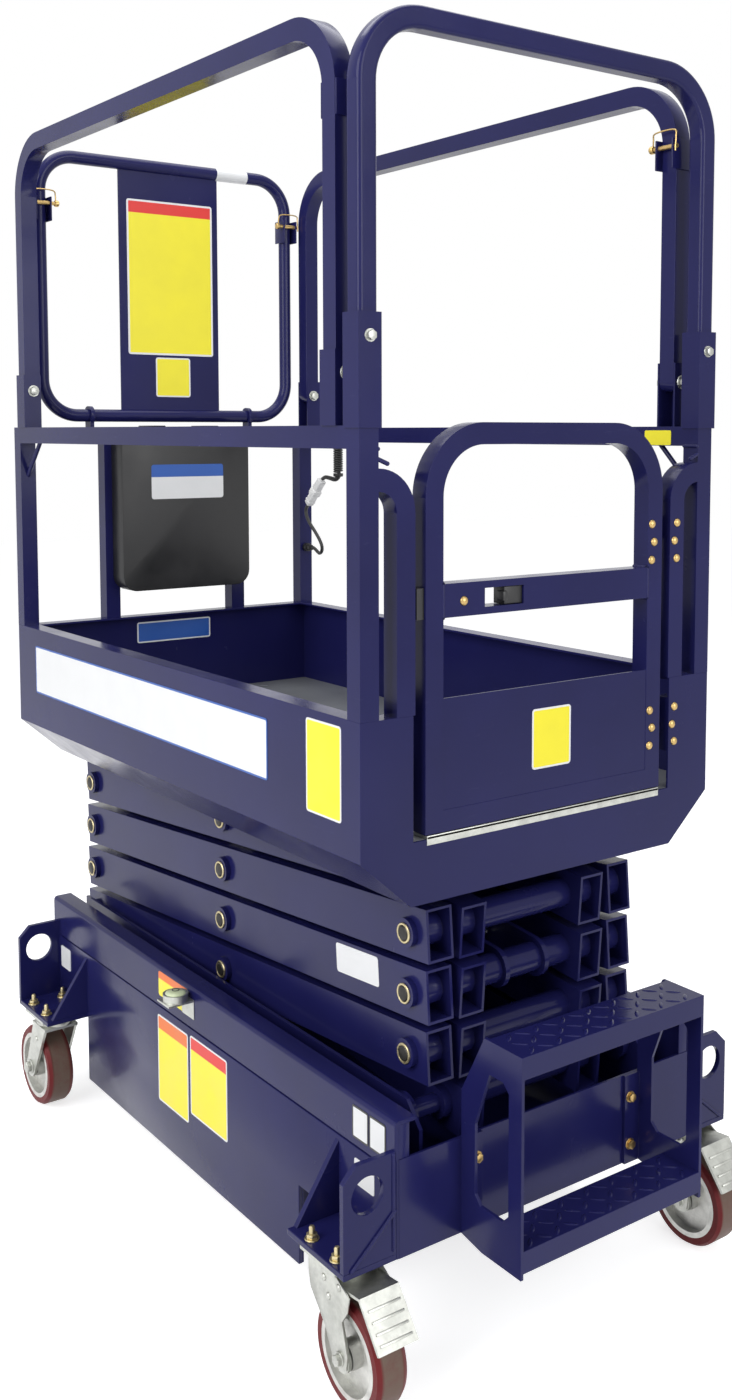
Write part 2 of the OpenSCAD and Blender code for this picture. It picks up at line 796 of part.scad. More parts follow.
module inner_arm_1() { place_inner(0) color(paint) inner_arms(); }
module inner_arm_2() { place_inner(1) color(paint) inner_arms(); }
module inner_arm_3() { place_inner(2) color(paint) inner_arms(); }
module inner_arm_4() { place_inner(3) color(paint) inner_arms(); }
module inner_pins_1() { place_inner(0) color(steel) inner_pins(0); }
module inner_pins_2() { place_inner(1) color(steel) inner_pins(1); }
module inner_pins_3() { place_inner(2) color(steel) inner_pins(2); }
module inner_pins_4() { place_inner(3) color(steel) inner_pins(3); }
module outer_arm_1() { place_outer(0) color(paint) outer_arms(); }
module outer_arm_2() { place_outer(1) color(paint) outer_arms(); }
module outer_arm_3() { place_outer(2) color(paint) outer_arms(); }
module outer_arm_4() { place_outer(3) color(paint) outer_arms(); }
module outer_pins_1() { place_outer(0) color(steel) outer_pins(0); }
module outer_pins_2() { place_outer(1) color(steel) outer_pins(1); }
module outer_pins_3() { place_outer(2) color(steel) outer_pins(2); }
module outer_pins_4() { place_outer(3) color(steel) outer_pins(3); }

// Places a drawing with the barrel eye at the origin and the rod along plus X
module along_cylinder() {
    frame() translate([barrel_eye[0], 0, barrel_eye[1]]) rotate([0, -cylinder_angle, 0]) children();
}

module lift_barrel() {
    along_cylinder() color(paint) difference() {
        union() {
            y_bar(eye_r + 4, -eye_half, eye_half);
            x_bar(barrel_r, 0, barrel_length);
        }
        y_bar(rod_r + pin_clear, -barrel_r - 1, barrel_r + 1);
        x_bar(barrel_bore, eye_r + barrel_end, barrel_length - piston_length);
        x_bar(rod_r + pin_clear, eye_r + barrel_end, barrel_length + 1);
    }
}

module lift_rod() {
    piston_at = barrel_length - rod_inside;
    along_cylinder() color(zinc) {
        x_bar(rod_r, piston_at, cylinder_span);
        x_bar(barrel_bore - pin_clear, piston_at, piston_at + piston_length);
        translate([cylinder_span, 0, 0]) y_bar(eye_r - 2, -eye_half, eye_half);
    }
}

module base_walls() {
    tray_half = base_half - base_sheet;
    length = base_rear + base_front;
    frame() color(paint) both_sides() translate([-base_rear, 0, 0]) {
        translate([0, tray_half, wall_bottom]) cube([length, base_sheet, rim_top - wall_bottom]);
        translate([0, base_half, crease]) cube([length, crease_step, rim_top - crease]);
        translate([0, base_half - rim_width, rim_top - base_sheet]) cube([length, rim_width, base_sheet]);
    }
}

module base_skirts() {
    frame() color(paint) both_sides()
        translate([-skirt_rear, base_half - base_sheet, skirt_bottom])
            cube([skirt_rear + skirt_front, base_sheet, wall_bottom - skirt_bottom]);
}

module skirt_ends() {
    half = base_half - base_sheet;
    frame() color(paint) for (x = [end_inset - skirt_rear, skirt_front - end_inset - base_sheet])
        translate([x, -half, skirt_bottom])
            cube([base_sheet, 2 * half, tray_top - base_sheet - skirt_bottom]);
}

module base_tray() {
    tray_half = base_half - base_sheet;
    track_z = pivot_height - roller_r - roller_gap;
    frame() color(paint) {
        translate([-base_rear, -tray_half, tray_top - base_sheet])
            cube([base_rear + base_front - eps, 2 * tray_half, base_sheet]);
        translate([base_front - base_sheet, -tray_half, wall_bottom])
            cube([base_sheet, 2 * tray_half, crease - wall_bottom]);
        translate([-base_rear, -tray_half, wall_bottom])
            cube([base_sheet, 2 * tray_half, tray_top - wall_bottom]);
        both_sides() translate([left_pin - 30, inner_lane + 1, tray_top - base_sheet])
            cube([pin_run * 0.4, arm_width - 2, track_z - tray_top + base_sheet]);
    }
}

// Long plates with the bosses of the base pivot
module pivot_plates() {
    y = pivot_plate - pivot_plate_t;
    front = right_pin + boss_r + 30;
    frame() color(paint) both_sides() difference() {
        union() {
            xz_sheet(y, pivot_plate) polygon([
                [-base_rear, tray_top], [front, tray_top], [front, pivot_height],
                [front - 30, pivot_plate_top], [-base_rear, pivot_plate_top]]);
            translate([right_pin, 0, pivot_height]) y_bar(boss_r + 6, y - 12, pivot_plate);
        }
        translate([right_pin, 0, pivot_height]) y_bar(pin_r + pin_clear, y - 13, pivot_plate + 1);
    }
}

// Draws one bracket piece at all four corners, with its outer end face at the origin
module at_brackets() {
    frame() color(paint) both_sides() {
        translate([base_front, 0, 0]) children();
        translate([-rear_bracket_x, 0, 0]) mirror([1, 0, 0]) children();
    }
}

module bracket_plates() {
    at_brackets() translate([-bracket_length, base_half, wall_bottom])
        cube([bracket_length, bracket_reach, bracket_t]);
}

module bracket_uprights() {
    y = base_half;
    hole_y = (base_half + bracket_half) / 2 + 4;
    at_brackets() {
        yz_sheet(-bracket_t, 0) difference() {
            polygon([[y, bracket_top], [bracket_half, bracket_top], [bracket_half, lug_top - lug_cut],
                     [bracket_half - lug_cut, lug_top], [y + crease_step, lug_top], [y + crease_step, crease],
                     [y, crease]]);
            translate([hole_y, lug_hole_z]) circle(lug_hole);
        }
        yz_sheet(-bracket_length, bracket_t - bracket_length)
            polygon([[y, bracket_top], [bracket_half - 10, bracket_top], [y, crease - 15]]);
    }
}

module power_block() {
    inset = 20;
    from_end = end_inset + base_sheet + inset;
    frame() color(black)
        translate([from_end - skirt_rear, inset + base_sheet - base_half, skirt_bottom + 40])
            cube([skirt_rear + skirt_front - 2 * from_end, 2 * (base_half - base_sheet - inset),
                  tray_top - base_sheet - skirt_bottom - 40]);
}

// Side sheet of the ladder
module stringer() {
    back = ladder_front - step_depth;
    difference() {
        polygon([[base_front, ladder_low + 8], [base_front, step_high - 90], [back - 6, step_high],
                 [ladder_front, step_high], [ladder_front, ladder_low], [back - 10, ladder_low]]);
        ladder_slot();
    }
}

// Tapered opening in the ladder sides
module ladder_slot() {
    inset = 30;
    r = 12;
    low = step_low + 26;
    high = step_high - step_apron - 16;
    front = ladder_front - 26;
    polygon([[base_front + inset, low + r], [base_front + inset + r, low], [front - r, low], [front, low + r],
             [front, high - r], [front - r, high], [front - 40, high], [base_front + inset, high - 80]]);
}

module ladder() {
    inside = ladder_half - ladder_t;
    frame() color(paint) {
        both_sides() {
            xz_sheet(inside, ladder_half) stringer();
            translate([base_front, inside - flange_width, ladder_low + 8])
                cube([ladder_t, flange_width + eps, crease - ladder_low - 8]);
        }
        for (z = [step_high, step_low]) {
            translate([ladder_front - step_depth, -inside - eps, z - ladder_t])
                cube([step_depth, 2 * (inside + eps), ladder_t]);
            translate([ladder_front - ladder_t, -inside - eps, z - step_apron])
                cube([ladder_t, 2 * (inside + eps), step_apron]);
            translate([ladder_front - step_depth, -inside - eps, z - step_apron])
                cube([ladder_t, 2 * (inside + eps), step_apron]);
        }
    }
}

module bubble_level() {
    y = -base_half - crease_step;
    frame() color(yellow) {
        translate([level_at - level_r, y - 2 * level_r - 6, rim_top - 20])
            cube([2 * level_r, 2 * level_r + 6, 3]);
        translate([level_at - level_r, y - 3, rim_top - 50]) cube([2 * level_r, 3, 33]);
        translate([level_at, y - level_r - 4, rim_top - 17 - eps]) cylinder(r = level_r, h = level_h);
    }
}

module cable_carrier() {
    y = -base_half + base_sheet + 8;
    frame() color(black)
        translate([60 - base_rear, y, tray_top]) cube([base_rear - 120, carrier_width, carrier_height]);
}

// Casters

// Moves a drawing to one swivel axis, with the wheel trailing outward
module at_caster(front, side) {
    frame() translate([front ? front_caster_x : rear_caster_x, side * caster_half, 0])
        mirror([front ? 0 : 1, 0, 0]) children();
}

module caster_plates() {
    for (front = [true, false], side = [-1, 1]) at_caster(front, side) color(zinc) difference() {
        translate([-caster_plate / 2, plate_inset - bracket_reach / 2, wall_bottom - caster_plate_t])
            cube([caster_plate, bracket_reach - 2 * plate_inset, caster_plate_t]);
        translate([0, 0, wall_bottom - 2 * caster_plate_t])
            cylinder(r = kingpin_r + pin_clear, h = 3 * caster_plate_t);
    }
}

module caster_fork() {
    color(zinc) {
        translate([0, 0, crown_z]) cylinder(r = race_r, h = race_h);
        translate([0, 0, crown_z]) cylinder(r = kingpin_r, h = wall_bottom - crown_z - side_play);
        translate([-race_r, -leg_in - fork_t, crown_z - fork_t])
            cube([2 * race_r, 2 * (leg_in + fork_t), fork_t + eps]);
        both_sides() xz_sheet(leg_in, leg_in + fork_t) union() {
            polygon([[-race_r, crown_z], [race_r - fork_t, crown_z], [caster_trail + 18, wheel_r],
                     [caster_trail - 18, wheel_r - 8]]);
            translate([caster_trail, wheel_r]) circle(19);
        }
        translate([caster_trail, 0, wheel_r]) y_bar(axle_r, -leg_in - fork_t - 6, leg_in + fork_t + 6);
    }
}

module caster_hub() {
    rim = wheel_r - tread;
    color(grey) translate([caster_trail, 0, wheel_r]) difference() {
        y_bar(rim, -wheel_width / 2, wheel_width / 2);
        both_sides() y_bar(rim - 8, wheel_width / 2 - 14, wheel_width / 2 + 1);
        y_bar(axle_r + pin_clear, -wheel_width, wheel_width);
    }
    color(grey) translate([caster_trail, 0, wheel_r]) difference() {
        y_bar(20, -wheel_width / 2 - 2, wheel_width / 2 + 2);
        y_bar(axle_r + pin_clear, -wheel_width, wheel_width);
    }
}

module caster_tread() {
    color(red) translate([caster_trail, 0, wheel_r]) rotate([90, 0, 0]) rotate_extrude()
        polygon([[wheel_r - tread, -wheel_width / 2], [wheel_r - 4, -wheel_width / 2],
                 [wheel_r, -wheel_width / 2 + 6], [wheel_r, wheel_width / 2 - 6],
                 [wheel_r - 4, wheel_width / 2], [wheel_r - tread, wheel_width / 2]]);
}

// Bent brake pedal over the trailing side of a wheel
module caster_pedal() {
    knee_x = caster_trail + 40;
    knee_z = crown_z + 6;
    tip_x = caster_trail + wheel_r + 8;
    tip_z = wheel_r + 46;
    color(zinc) xz_sheet(-pedal_width / 2, pedal_width / 2)
        polygon([[race_r, crown_z - fork_t], [knee_x, knee_z - pedal_t], [tip_x, tip_z],
                 [tip_x + pedal_t, tip_z + 2], [knee_x + 2, knee_z], [race_r, crown_z]]);
}

module fork_front_left() { at_caster(true, -1) caster_fork(); }
module fork_front_right() { at_caster(true, 1) caster_fork(); }
module fork_rear_left() { at_caster(false, -1) caster_fork(); }
module fork_rear_right() { at_caster(false, 1) caster_fork(); }
module hub_front_left() { at_caster(true, -1) caster_hub(); }
module hub_front_right() { at_caster(true, 1) caster_hub(); }
module hub_rear_left() { at_caster(false, -1) caster_hub(); }
module hub_rear_right() { at_caster(false, 1) caster_hub(); }
module tread_front_left() { at_caster(true, -1) caster_tread(); }
module tread_front_right() { at_caster(true, 1) caster_tread(); }
module tread_rear_left() { at_caster(false, -1) caster_tread(); }
module tread_rear_right() { at_caster(false, 1) caster_tread(); }
module pedal_front_left() { at_caster(true, -1) caster_pedal(); }
module pedal_front_right() { at_caster(true, 1) caster_pedal(); }

base_walls();
base_skirts();
skirt_ends();
base_tray();
pivot_plates();
bracket_plates();
bracket_uprights();
power_block();
ladder();
bubble_level();
cable_carrier();
caster_plates();
inner_arm_1();
inner_arm_2();
inner_arm_3();
inner_arm_4();
inner_pins_1();
inner_pins_2();
inner_pins_3();
inner_pins_4();
outer_arm_1();
outer_arm_2();
outer_arm_3();
outer_arm_4();
outer_pins_1();
outer_pins_2();
outer_pins_3();
outer_pins_4();
lift_barrel();
lift_rod();
platform_box();
platform_deck();
platform_tracks();
guard_posts();
end_hoop();
document_box();
curly_cord();
cord_connector();
control_cable();
cable_gland();
gate_frame();
gate_latch();
left_hoop();
right_hoop();
back_hoop();
fork_front_left();
fork_front_right();
fork_rear_left();
fork_rear_right();
hub_front_left();
hub_front_right();
hub_rear_left();
hub_rear_right();
tread_front_left();
tread_front_right();
tread_rear_left();
tread_rear_right();
pedal_front_left();
pedal_front_right();
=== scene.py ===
"""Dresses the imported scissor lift: finishes, fasteners, blank plates, cables and a plain studio."""

import json
import math

import bmesh
import bpy
from bpy.props import FloatProperty, FloatVectorProperty, PointerProperty
from mathutils import Matrix, Vector


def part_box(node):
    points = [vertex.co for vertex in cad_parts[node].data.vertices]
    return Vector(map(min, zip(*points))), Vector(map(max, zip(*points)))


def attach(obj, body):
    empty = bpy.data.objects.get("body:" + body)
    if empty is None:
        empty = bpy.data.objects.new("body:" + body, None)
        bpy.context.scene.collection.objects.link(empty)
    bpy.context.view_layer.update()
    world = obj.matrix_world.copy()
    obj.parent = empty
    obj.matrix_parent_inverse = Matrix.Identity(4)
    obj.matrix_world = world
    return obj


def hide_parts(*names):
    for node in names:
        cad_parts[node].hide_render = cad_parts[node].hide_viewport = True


bl_info = {
    "name": "Scissor lift dressing",
    "version": (1, 0, 0),
    "blender": (4, 5, 0),
    "location": "View3D > Sidebar > Lift",
    "description": "Finishes, fasteners, blank plates, cables and a studio for the packed scissor lift",
    "category": "Object",
}

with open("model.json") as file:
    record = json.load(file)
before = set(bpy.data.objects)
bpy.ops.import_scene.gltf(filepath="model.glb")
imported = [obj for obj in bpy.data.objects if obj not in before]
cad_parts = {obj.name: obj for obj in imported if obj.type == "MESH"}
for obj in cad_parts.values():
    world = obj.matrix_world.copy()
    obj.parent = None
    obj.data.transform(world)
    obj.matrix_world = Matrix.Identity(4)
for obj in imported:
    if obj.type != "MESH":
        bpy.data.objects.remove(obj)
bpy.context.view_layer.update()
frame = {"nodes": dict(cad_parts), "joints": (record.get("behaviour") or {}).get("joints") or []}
NODES = frame["nodes"]
JOINTS = {joint["name"]: joint for joint in frame["joints"]}
STAGES = (1, 2, 3, 4)
CORNERS = ("front_left", "front_right", "rear_left", "rear_right")

# Gate
GATE_FACE = 0.517
GATE_BAR = (1.054, 1.100)
GATE_POST_Y = 0.194
THRESHOLD_Y = 0.222
HINGES = (0.855, 1.138)
HINGE_PITCH = 0.027
HINGE_FIXED_Y = 0.256
HINGE_GATE_Y = 0.202
HINGE_STEP = 0.005
LATCH_BOLT = (-0.159, 1.075)
LATCH_BODY = ((-0.027, -0.0850, 1.0645), (-0.003, -0.0525, 1.0895))
LATCH_THUMB = ((-0.012, -0.0925, 1.0700), (0.004, -0.0840, 1.0840))

# Rails, straps and locking pins
RAIL = 0.030
SLEEVE = 0.0185
END_BOLT_Z = 1.425
MID_RAIL_TOP = 1.3112
STRAP_REAR = -0.650
STRAP_Y = 0.06
BAND_Y = 0.107
PIN_Z = 1.740
LOCK_PIN = 0.0038
BAIL_WIRE = 0.0013

# Base and ladder
FOLD_FACE = 0.2872
PANEL_FACE = 0.2893
PANEL_TOP = 0.3165
FLANGE_Y = 0.262
FLANGE_Z = 0.300
SEAM = 0.0005
STEPS_Z = (0.491, 0.226)
LADDER_SHEET = 0.005
LADDER_BOLT_Y = 0.150
LADDER_BOLTS_Z = (0.299, 0.225)
BRACKET_BOLT_X = 0.031
BRACKET_BOLT_Y = 0.029

# Casters
FORK_LEG = 0.033
CHEEK = 0.0024
NUT_BRAKED = 0.0046
NUT_PLAIN = 0.0062
RIVET = 0.0026
PEDAL_KNEE = 0.087
PEDAL_TIP_Z = 0.123

# Side plate of a braked fork, as X from the swivel and Z
CHEEK_OUTLINE = (
    (-0.031, 0.1885), (0.031, 0.1885), (0.068, 0.170), (0.064, 0.148), (0.050, 0.128), (0.063, 0.086),
    (0.060, 0.066), (0.045, 0.058), (0.030, 0.066), (0.010, 0.104), (-0.026, 0.142), (-0.031, 0.165),
)

# Rivets of a fork, as X from the swivel and Z
RIVETS_BRAKED = ((0.008, 0.1715), (0.044, 0.174), (0.019, 0.150))
RIVETS_PLAIN = ((-0.012, 0.142),)

# Ball race below a caster plate, as radius and height
RACE = (
    (0.029, -0.0165), (0.0325, -0.0165), (0.0345, -0.0135), (0.0345, -0.0095), (0.0322, -0.0078),
    (0.0340, -0.0060), (0.0340, -0.0012), (0.029, -0.0012), (0.029, -0.0165),
)

# Weld seams, as Y and Z
POST_SEAM = ((0.285, 1.262), (0.300, 1.268))
RAIL_SEAM = (0.300, 1.281)
LUG_SEAM = ((0.3575, 0.206), (0.288, 0.2655))
BRACKET_SEAM_Z = 0.212

# Routes of the control cord
COIL_TOP = (-0.500, 0.315, 1.281)
COIL_LOW = (-0.500, 0.315, 1.215)
COIL_RADIUS = 0.0105
COIL_PITCH = 1.15
BOOT_RADIUS = 0.0038
TURN_POINTS = 12
BOOT_ROUTE = ((-0.500, 0.315, 1.215), (-0.500, 0.315, 1.208), (-0.508, 0.313, 1.202), (-0.522, 0.310, 1.204),
              (-0.536, 0.307, 1.206), (-0.547, 0.306, 1.202))
PLUG_ENDS = ((-0.550, 0.306, 1.199), (-0.606, 0.306, 1.143))
# Blocks of the plug, as shares of its run and a width
PLUG_BLOCKS = ((0.0, 0.44, 0.0155), (0.47, 0.93, 0.0155), (0.36, 0.56, 0.0195), (0.78, 0.84, 0.0175))
CABLE_ROUTE = ((-0.607, 0.315, 1.050), (-0.597, 0.315, 1.050), (-0.586, 0.315, 1.045), (-0.574, 0.314, 1.040),
               (-0.563, 0.313, 1.044), (-0.558, 0.311, 1.055), (-0.562, 0.309, 1.067), (-0.571, 0.308, 1.078),
               (-0.583, 0.307, 1.090), (-0.595, 0.306, 1.101), (-0.605, 0.306, 1.111), (-0.612, 0.306, 1.121),
               (-0.614, 0.306, 1.130), (-0.611, 0.306, 1.138), (-0.606, 0.306, 1.143))

# Blank plates by body: direction across, place, size, field, edge, header, header share and lean
TINTS = ("yellow", "red", "orange", "blue", "white", "black")
LEFT_SIDE = (1, 0, 0)
FRONT_SIDE = (0, 1, 0)
PLATES = {
    "platform": (
        (LEFT_SIDE, (-0.145, -0.330, 0.851), (0.858, 0.090), "white", "blue"),
        (LEFT_SIDE, (0.430, -0.330, 0.851), (0.086, 0.130), "yellow", "white"),
        (LEFT_SIDE, (0.433, 0.300, 1.2935), (0.056, 0.023), "yellow"),
        (FRONT_SIDE, (-0.579, 0.001, 1.2025), (0.162, 0.069), "white", None, "blue", 0.36),
        (FRONT_SIDE, (-0.655, 0.0045, 0.8895), (0.169, 0.043), "blue", "white"),
    ),
    "gate": (
        (FRONT_SIDE, (0.516, 0.003, 0.8675), (0.074, 0.087), "yellow", "white"),
    ),
    "base": (
        (LEFT_SIDE, (-0.105, -PANEL_FACE, 0.2265), (0.110, 0.153), "yellow", "white", "orange", 0.16),
        (LEFT_SIDE, (0.020, -PANEL_FACE, 0.2385), (0.124, 0.135), "yellow", "white", "red", 0.17),
        (LEFT_SIDE, (-0.107, -FOLD_FACE, 0.3575), (0.104, 0.043), "yellow", None, "orange", 0.30),
        (LEFT_SIDE, (0.4525, -FOLD_FACE, 0.3515), (0.039, 0.047), "white", "black"),
        (LEFT_SIDE, (0.4935, -FOLD_FACE, 0.3515), (0.039, 0.047), "white", "black"),
        (LEFT_SIDE, (0.465, -PANEL_FACE, 0.2835), (0.048, 0.037), "white"),
        (LEFT_SIDE, (-0.556, -PANEL_FACE, 0.279), (0.044, 0.042), "white"),
    ),
    "outer_2": (
        (LEFT_SIDE, (0.313, -0.196, 0.515), (0.110, 0.044), "white", None, None, 0.0, math.radians(4.71)),
    ),
    "back_rail": (
        (FRONT_SIDE, (-0.645, 0.002, 1.6135), (0.192, 0.309), "yellow", "white", "red", 0.085),
        (FRONT_SIDE, (-0.645, 0.005, 1.414), (0.078, 0.080), "yellow", "white"),
    ),
}

# Studio
FLOOR_REACH = 14.0
FLOOR_GREY = (0.72, 0.72, 0.73, 1)
FLOOR_GLOW = 0.70
WHITE = (1, 1, 1, 1)
LIGHT_AIM = Vector((0, 0, 0.9))
SENSOR = 36.0
FAR_CLIP = 60.0

# Rounding of the solids
MERGE_GAP = 0.00002
FLAT_ANGLE = math.radians(0.5)
SHARP_ANGLE = math.radians(50)

X_AXIS = Vector((1, 0, 0))
Y_AXIS = Vector((0, 1, 0))
Z_AXIS = Vector((0, 0, 1))


def pivot(name):
    """Rest place of a joint in the frame."""
    return Vector(JOINTS[name]["pos_m"])


class LiftFinishes(bpy.types.PropertyGroup):
    """Colours of the lift, as linear values"""

    paint: FloatVectorProperty(
        name="Paint", description="Gloss paint of the box, the base and the rails",
        subtype="COLOR", size=3, min=0, max=1, default=(0.0125, 0.0130, 0.080))
    paint_worn: FloatVectorProperty(
        name="Worn paint", description="Scuffed paint on handled faces",
        subtype="COLOR", size=3, min=0, max=1, default=(0.050, 0.050, 0.130))
    deck: FloatVectorProperty(
        name="Deck", description="Grey standing deck",
        subtype="COLOR", size=3, min=0, max=1, default=(0.20, 0.21, 0.22))
    zinc: FloatVectorProperty(
        name="Zinc", description="Zinc-plated casters, bolts and brackets",
        subtype="COLOR", size=3, min=0, max=1, default=(0.56, 0.57, 0.53))
    brass: FloatVectorProperty(
        name="Yellow zinc", description="Yellow-plated bolts and pin rings",
        subtype="COLOR", size=3, min=0, max=1, default=(0.62, 0.43, 0.17))
    pale_zinc: FloatVectorProperty(
        name="Pale zinc", description="Pale yellow plating of the bracket nuts and pin rings",
        subtype="COLOR", size=3, min=0, max=1, default=(0.62, 0.53, 0.31))
    pin: FloatVectorProperty(
        name="Pin ends", description="Dark steel ends of the scissor pins",
        subtype="COLOR", size=3, min=0, max=1, default=(0.045, 0.042, 0.040))
    hub: FloatVectorProperty(
        name="Wheel hubs", description="Cast wheel hubs",
        subtype="COLOR", size=3, min=0, max=1, default=(0.66, 0.66, 0.63))
    tread: FloatVectorProperty(
        name="Tread", description="Red wheel tread",
        subtype="COLOR", size=3, min=0, max=1, default=(0.130, 0.010, 0.012))
    tread_worn: FloatVectorProperty(
        name="Worn tread", description="Dusty running band of the tread",
        subtype="COLOR", size=3, min=0, max=1, default=(0.150, 0.108, 0.084))
    black: FloatVectorProperty(
        name="Black plastic", description="Document box, latch, cables and cable carrier",
        subtype="COLOR", size=3, min=0, max=1, default=(0.012, 0.012, 0.013))
    vial: FloatVectorProperty(
        name="Level vial", description="Green vial of the bubble level",
        subtype="COLOR", size=3, min=0, max=1, default=(0.50, 0.56, 0.36))
    yellow: FloatVectorProperty(
        name="Sign yellow", description="Blank yellow plates",
        subtype="COLOR", size=3, min=0, max=1, default=(0.90, 0.80, 0.025))
    red: FloatVectorProperty(
        name="Sign red", description="Header of the large blank plate",
        subtype="COLOR", size=3, min=0, max=1, default=(0.72, 0.028, 0.022))
    orange: FloatVectorProperty(
        name="Sign orange", description="Headers of the small blank plates",
        subtype="COLOR", size=3, min=0, max=1, default=(0.80, 0.17, 0.02))
    blue: FloatVectorProperty(
        name="Sign blue", description="Border of the banner and header of the box plate",
        subtype="COLOR", size=3, min=0, max=1, default=(0.02, 0.10, 0.42))
    white: FloatVectorProperty(
        name="Sign white", description="Blank white plates",
        subtype="COLOR", size=3, min=0, max=1, default=(0.78, 0.79, 0.80))


class LiftDetails(bpy.types.PropertyGroup):
    """Sizes of the pieces that are added to the solids"""

    edge: FloatProperty(
        name="Tube edge", description="Rounding of the square rail tubes",
        subtype="DISTANCE", unit="LENGTH", default=0.006)
    fold: FloatProperty(
        name="Sheet edge", description="Rounding of folded sheet and arm edges",
        subtype="DISTANCE", unit="LENGTH", default=0.0014)
    bolt: FloatProperty(
        name="Bolt", description="Thread radius of the usual bolt",
        subtype="DISTANCE", unit="LENGTH", default=0.004)
    ring: FloatProperty(
        name="Pin ring", description="Outer radius of the rings on the scissor pins",
        subtype="DISTANCE", unit="LENGTH", default=0.0148)
    plate: FloatProperty(
        name="Plate", description="Thickness of the blank plates",
        subtype="DISTANCE", unit="LENGTH", default=0.0006)
    bead: FloatProperty(
        name="Weld bead", description="Half width of the weld beads",
        subtype="DISTANCE", unit="LENGTH", default=0.0032)
    lozenge: FloatProperty(
        name="Lozenge", description="Half length of the raised bars of the step plates",
        subtype="DISTANCE", unit="LENGTH", default=0.0115)
    cord: FloatProperty(
        name="Curly cord", description="Diameter of the wire of the curly cord",
        subtype="DISTANCE", unit="LENGTH", default=0.004)
    cable: FloatProperty(
        name="Cable", description="Diameter of the control cable",
        subtype="DISTANCE", unit="LENGTH", default=0.0075)


class LiftStudio(bpy.types.PropertyGroup):
    """Camera and light of the studio"""

    eye: FloatVectorProperty(
        name="Eye", description="Place of the camera",
        subtype="TRANSLATION", unit="LENGTH", size=3, default=(1.9985, -1.3491, 1.3033))
    azimuth: FloatProperty(
        name="Azimuth", description="Turn of the view about the upright axis",
        subtype="ANGLE", unit="ROTATION", default=math.radians(53.402))
    elevation: FloatProperty(
        name="Elevation", description="Downward tilt of the view",
        subtype="ANGLE", unit="ROTATION", default=math.radians(4.70))
    lens: FloatProperty(
        name="Lens", description="Focal length on a 36 mm long side",
        subtype="DISTANCE_CAMERA", default=36.34)
    shift_x: FloatProperty(name="Shift X", description="Sideways lens shift", default=-0.0319)
    shift_y: FloatProperty(name="Shift Y", description="Upward lens shift", default=-0.1088)
    key: FloatProperty(
        name="Key", description="Power of the large light on the banner side",
        subtype="POWER", unit="POWER", default=125)
    fill: FloatProperty(
        name="Fill", description="Power of the large light on the gate side",
        subtype="POWER", unit="POWER", default=80)
    top: FloatProperty(
        name="Top", description="Power of the overhead light",
        subtype="POWER", unit="POWER", default=90)
    sky: FloatProperty(name="Sky", description="Strength of the even light", min=0, default=0.38)


def finishes():
    """Colours that the user has set."""
    return bpy.context.scene.lift_finishes


def details():
    """Sizes that the user has set."""
    return bpy.context.scene.lift_details


# Meshes

def facing(axis, place=(0, 0, 0)):
    """Matrix that turns local Z to an axis and moves the origin to a place."""
    turn = Vector(axis).to_track_quat("Z", "Y").to_matrix().to_4x4()
    return Matrix.Translation(Vector(place)) @ turn


def stamp(target, source, matrices):
    """Copies a small bmesh into a larger one at each matrix."""
    for matrix in matrices:
        copy = source.copy()
        bmesh.ops.transform(copy, matrix=matrix, verts=copy.verts)
        sheet = bpy.data.meshes.new("stamp")
        copy.to_mesh(sheet)
        copy.free()
        target.from_mesh(sheet)
        bpy.data.meshes.remove(sheet)


def soften(block, edges, width):
    """Rounds edges of a bmesh."""
    bmesh.ops.bevel(block, geom=edges, offset=width, segments=2, profile=0.5, affect="EDGES", material=-1)


def add_box(target, low, high, bevel=0.0):
    """Adds a box between two corners, with rounded edges if asked."""
    low = Vector(low)
    high = Vector(high)
    block = bmesh.new()
    bmesh.ops.create_cube(block, size=1.0)
    size = high - low
    bmesh.ops.scale(block, vec=size, verts=block.verts)
    bmesh.ops.translate(block, vec=(low + high) / 2, verts=block.verts)
    if bevel > 0:
        soften(block, block.edges[:], bevel)
    stamp(target, block, [Matrix.Identity(4)])
    block.free()


def turned(profile, steps=20):
    """Bmesh of a profile of radius and height pairs, turned about Z."""
    lathe = bmesh.new()
    points = [lathe.verts.new((radius, 0, height)) for radius, height in profile]
    line = [lathe.edges.new(pair) for pair in zip(points, points[1:])]
    bmesh.ops.spin(lathe, geom=points + line, cent=(0, 0, 0), axis=(0, 0, 1),
                   angle=2 * math.pi, steps=steps, use_merge=True)
    bmesh.ops.remove_doubles(lathe, verts=lathe.verts, dist=1e-6)
    bmesh.ops.recalc_face_normals(lathe, faces=lathe.faces)
    return lathe


def hex_bolt(radius):
    """Bmesh of a hexagon head on a washer, standing on Z zero."""
    bolt = turned(((0, 0), (2.15 * radius, 0), (2.2 * radius, 0.15 * radius), (2.1 * radius, 0.4 * radius),
                   (0, 0.4 * radius)))
    head = bmesh.new()
    bmesh.ops.create_cone(head, cap_ends=True, segments=6, radius1=1.75 * radius, radius2=1.75 * radius,
                          depth=1.3 * radius)
    soften(head, head.edges[:], 0.16 * radius)
    stamp(bolt, head, [Matrix.Translation((0, 0, 1.02 * radius))])
    head.free()
    return bolt


def stud_nut(radius):
    """Bmesh of a nut on a washer with the end of its stud, standing on Z zero."""
    nut = hex_bolt(radius)
    stud = turned(((0, radius), (0.85 * radius, radius), (0.85 * radius, 3.4 * radius),
                   (0.6 * radius, 3.9 * radius), (0, 4.0 * radius)))
    stamp(nut, stud, [Matrix.Identity(4)])
    stud.free()
    return nut


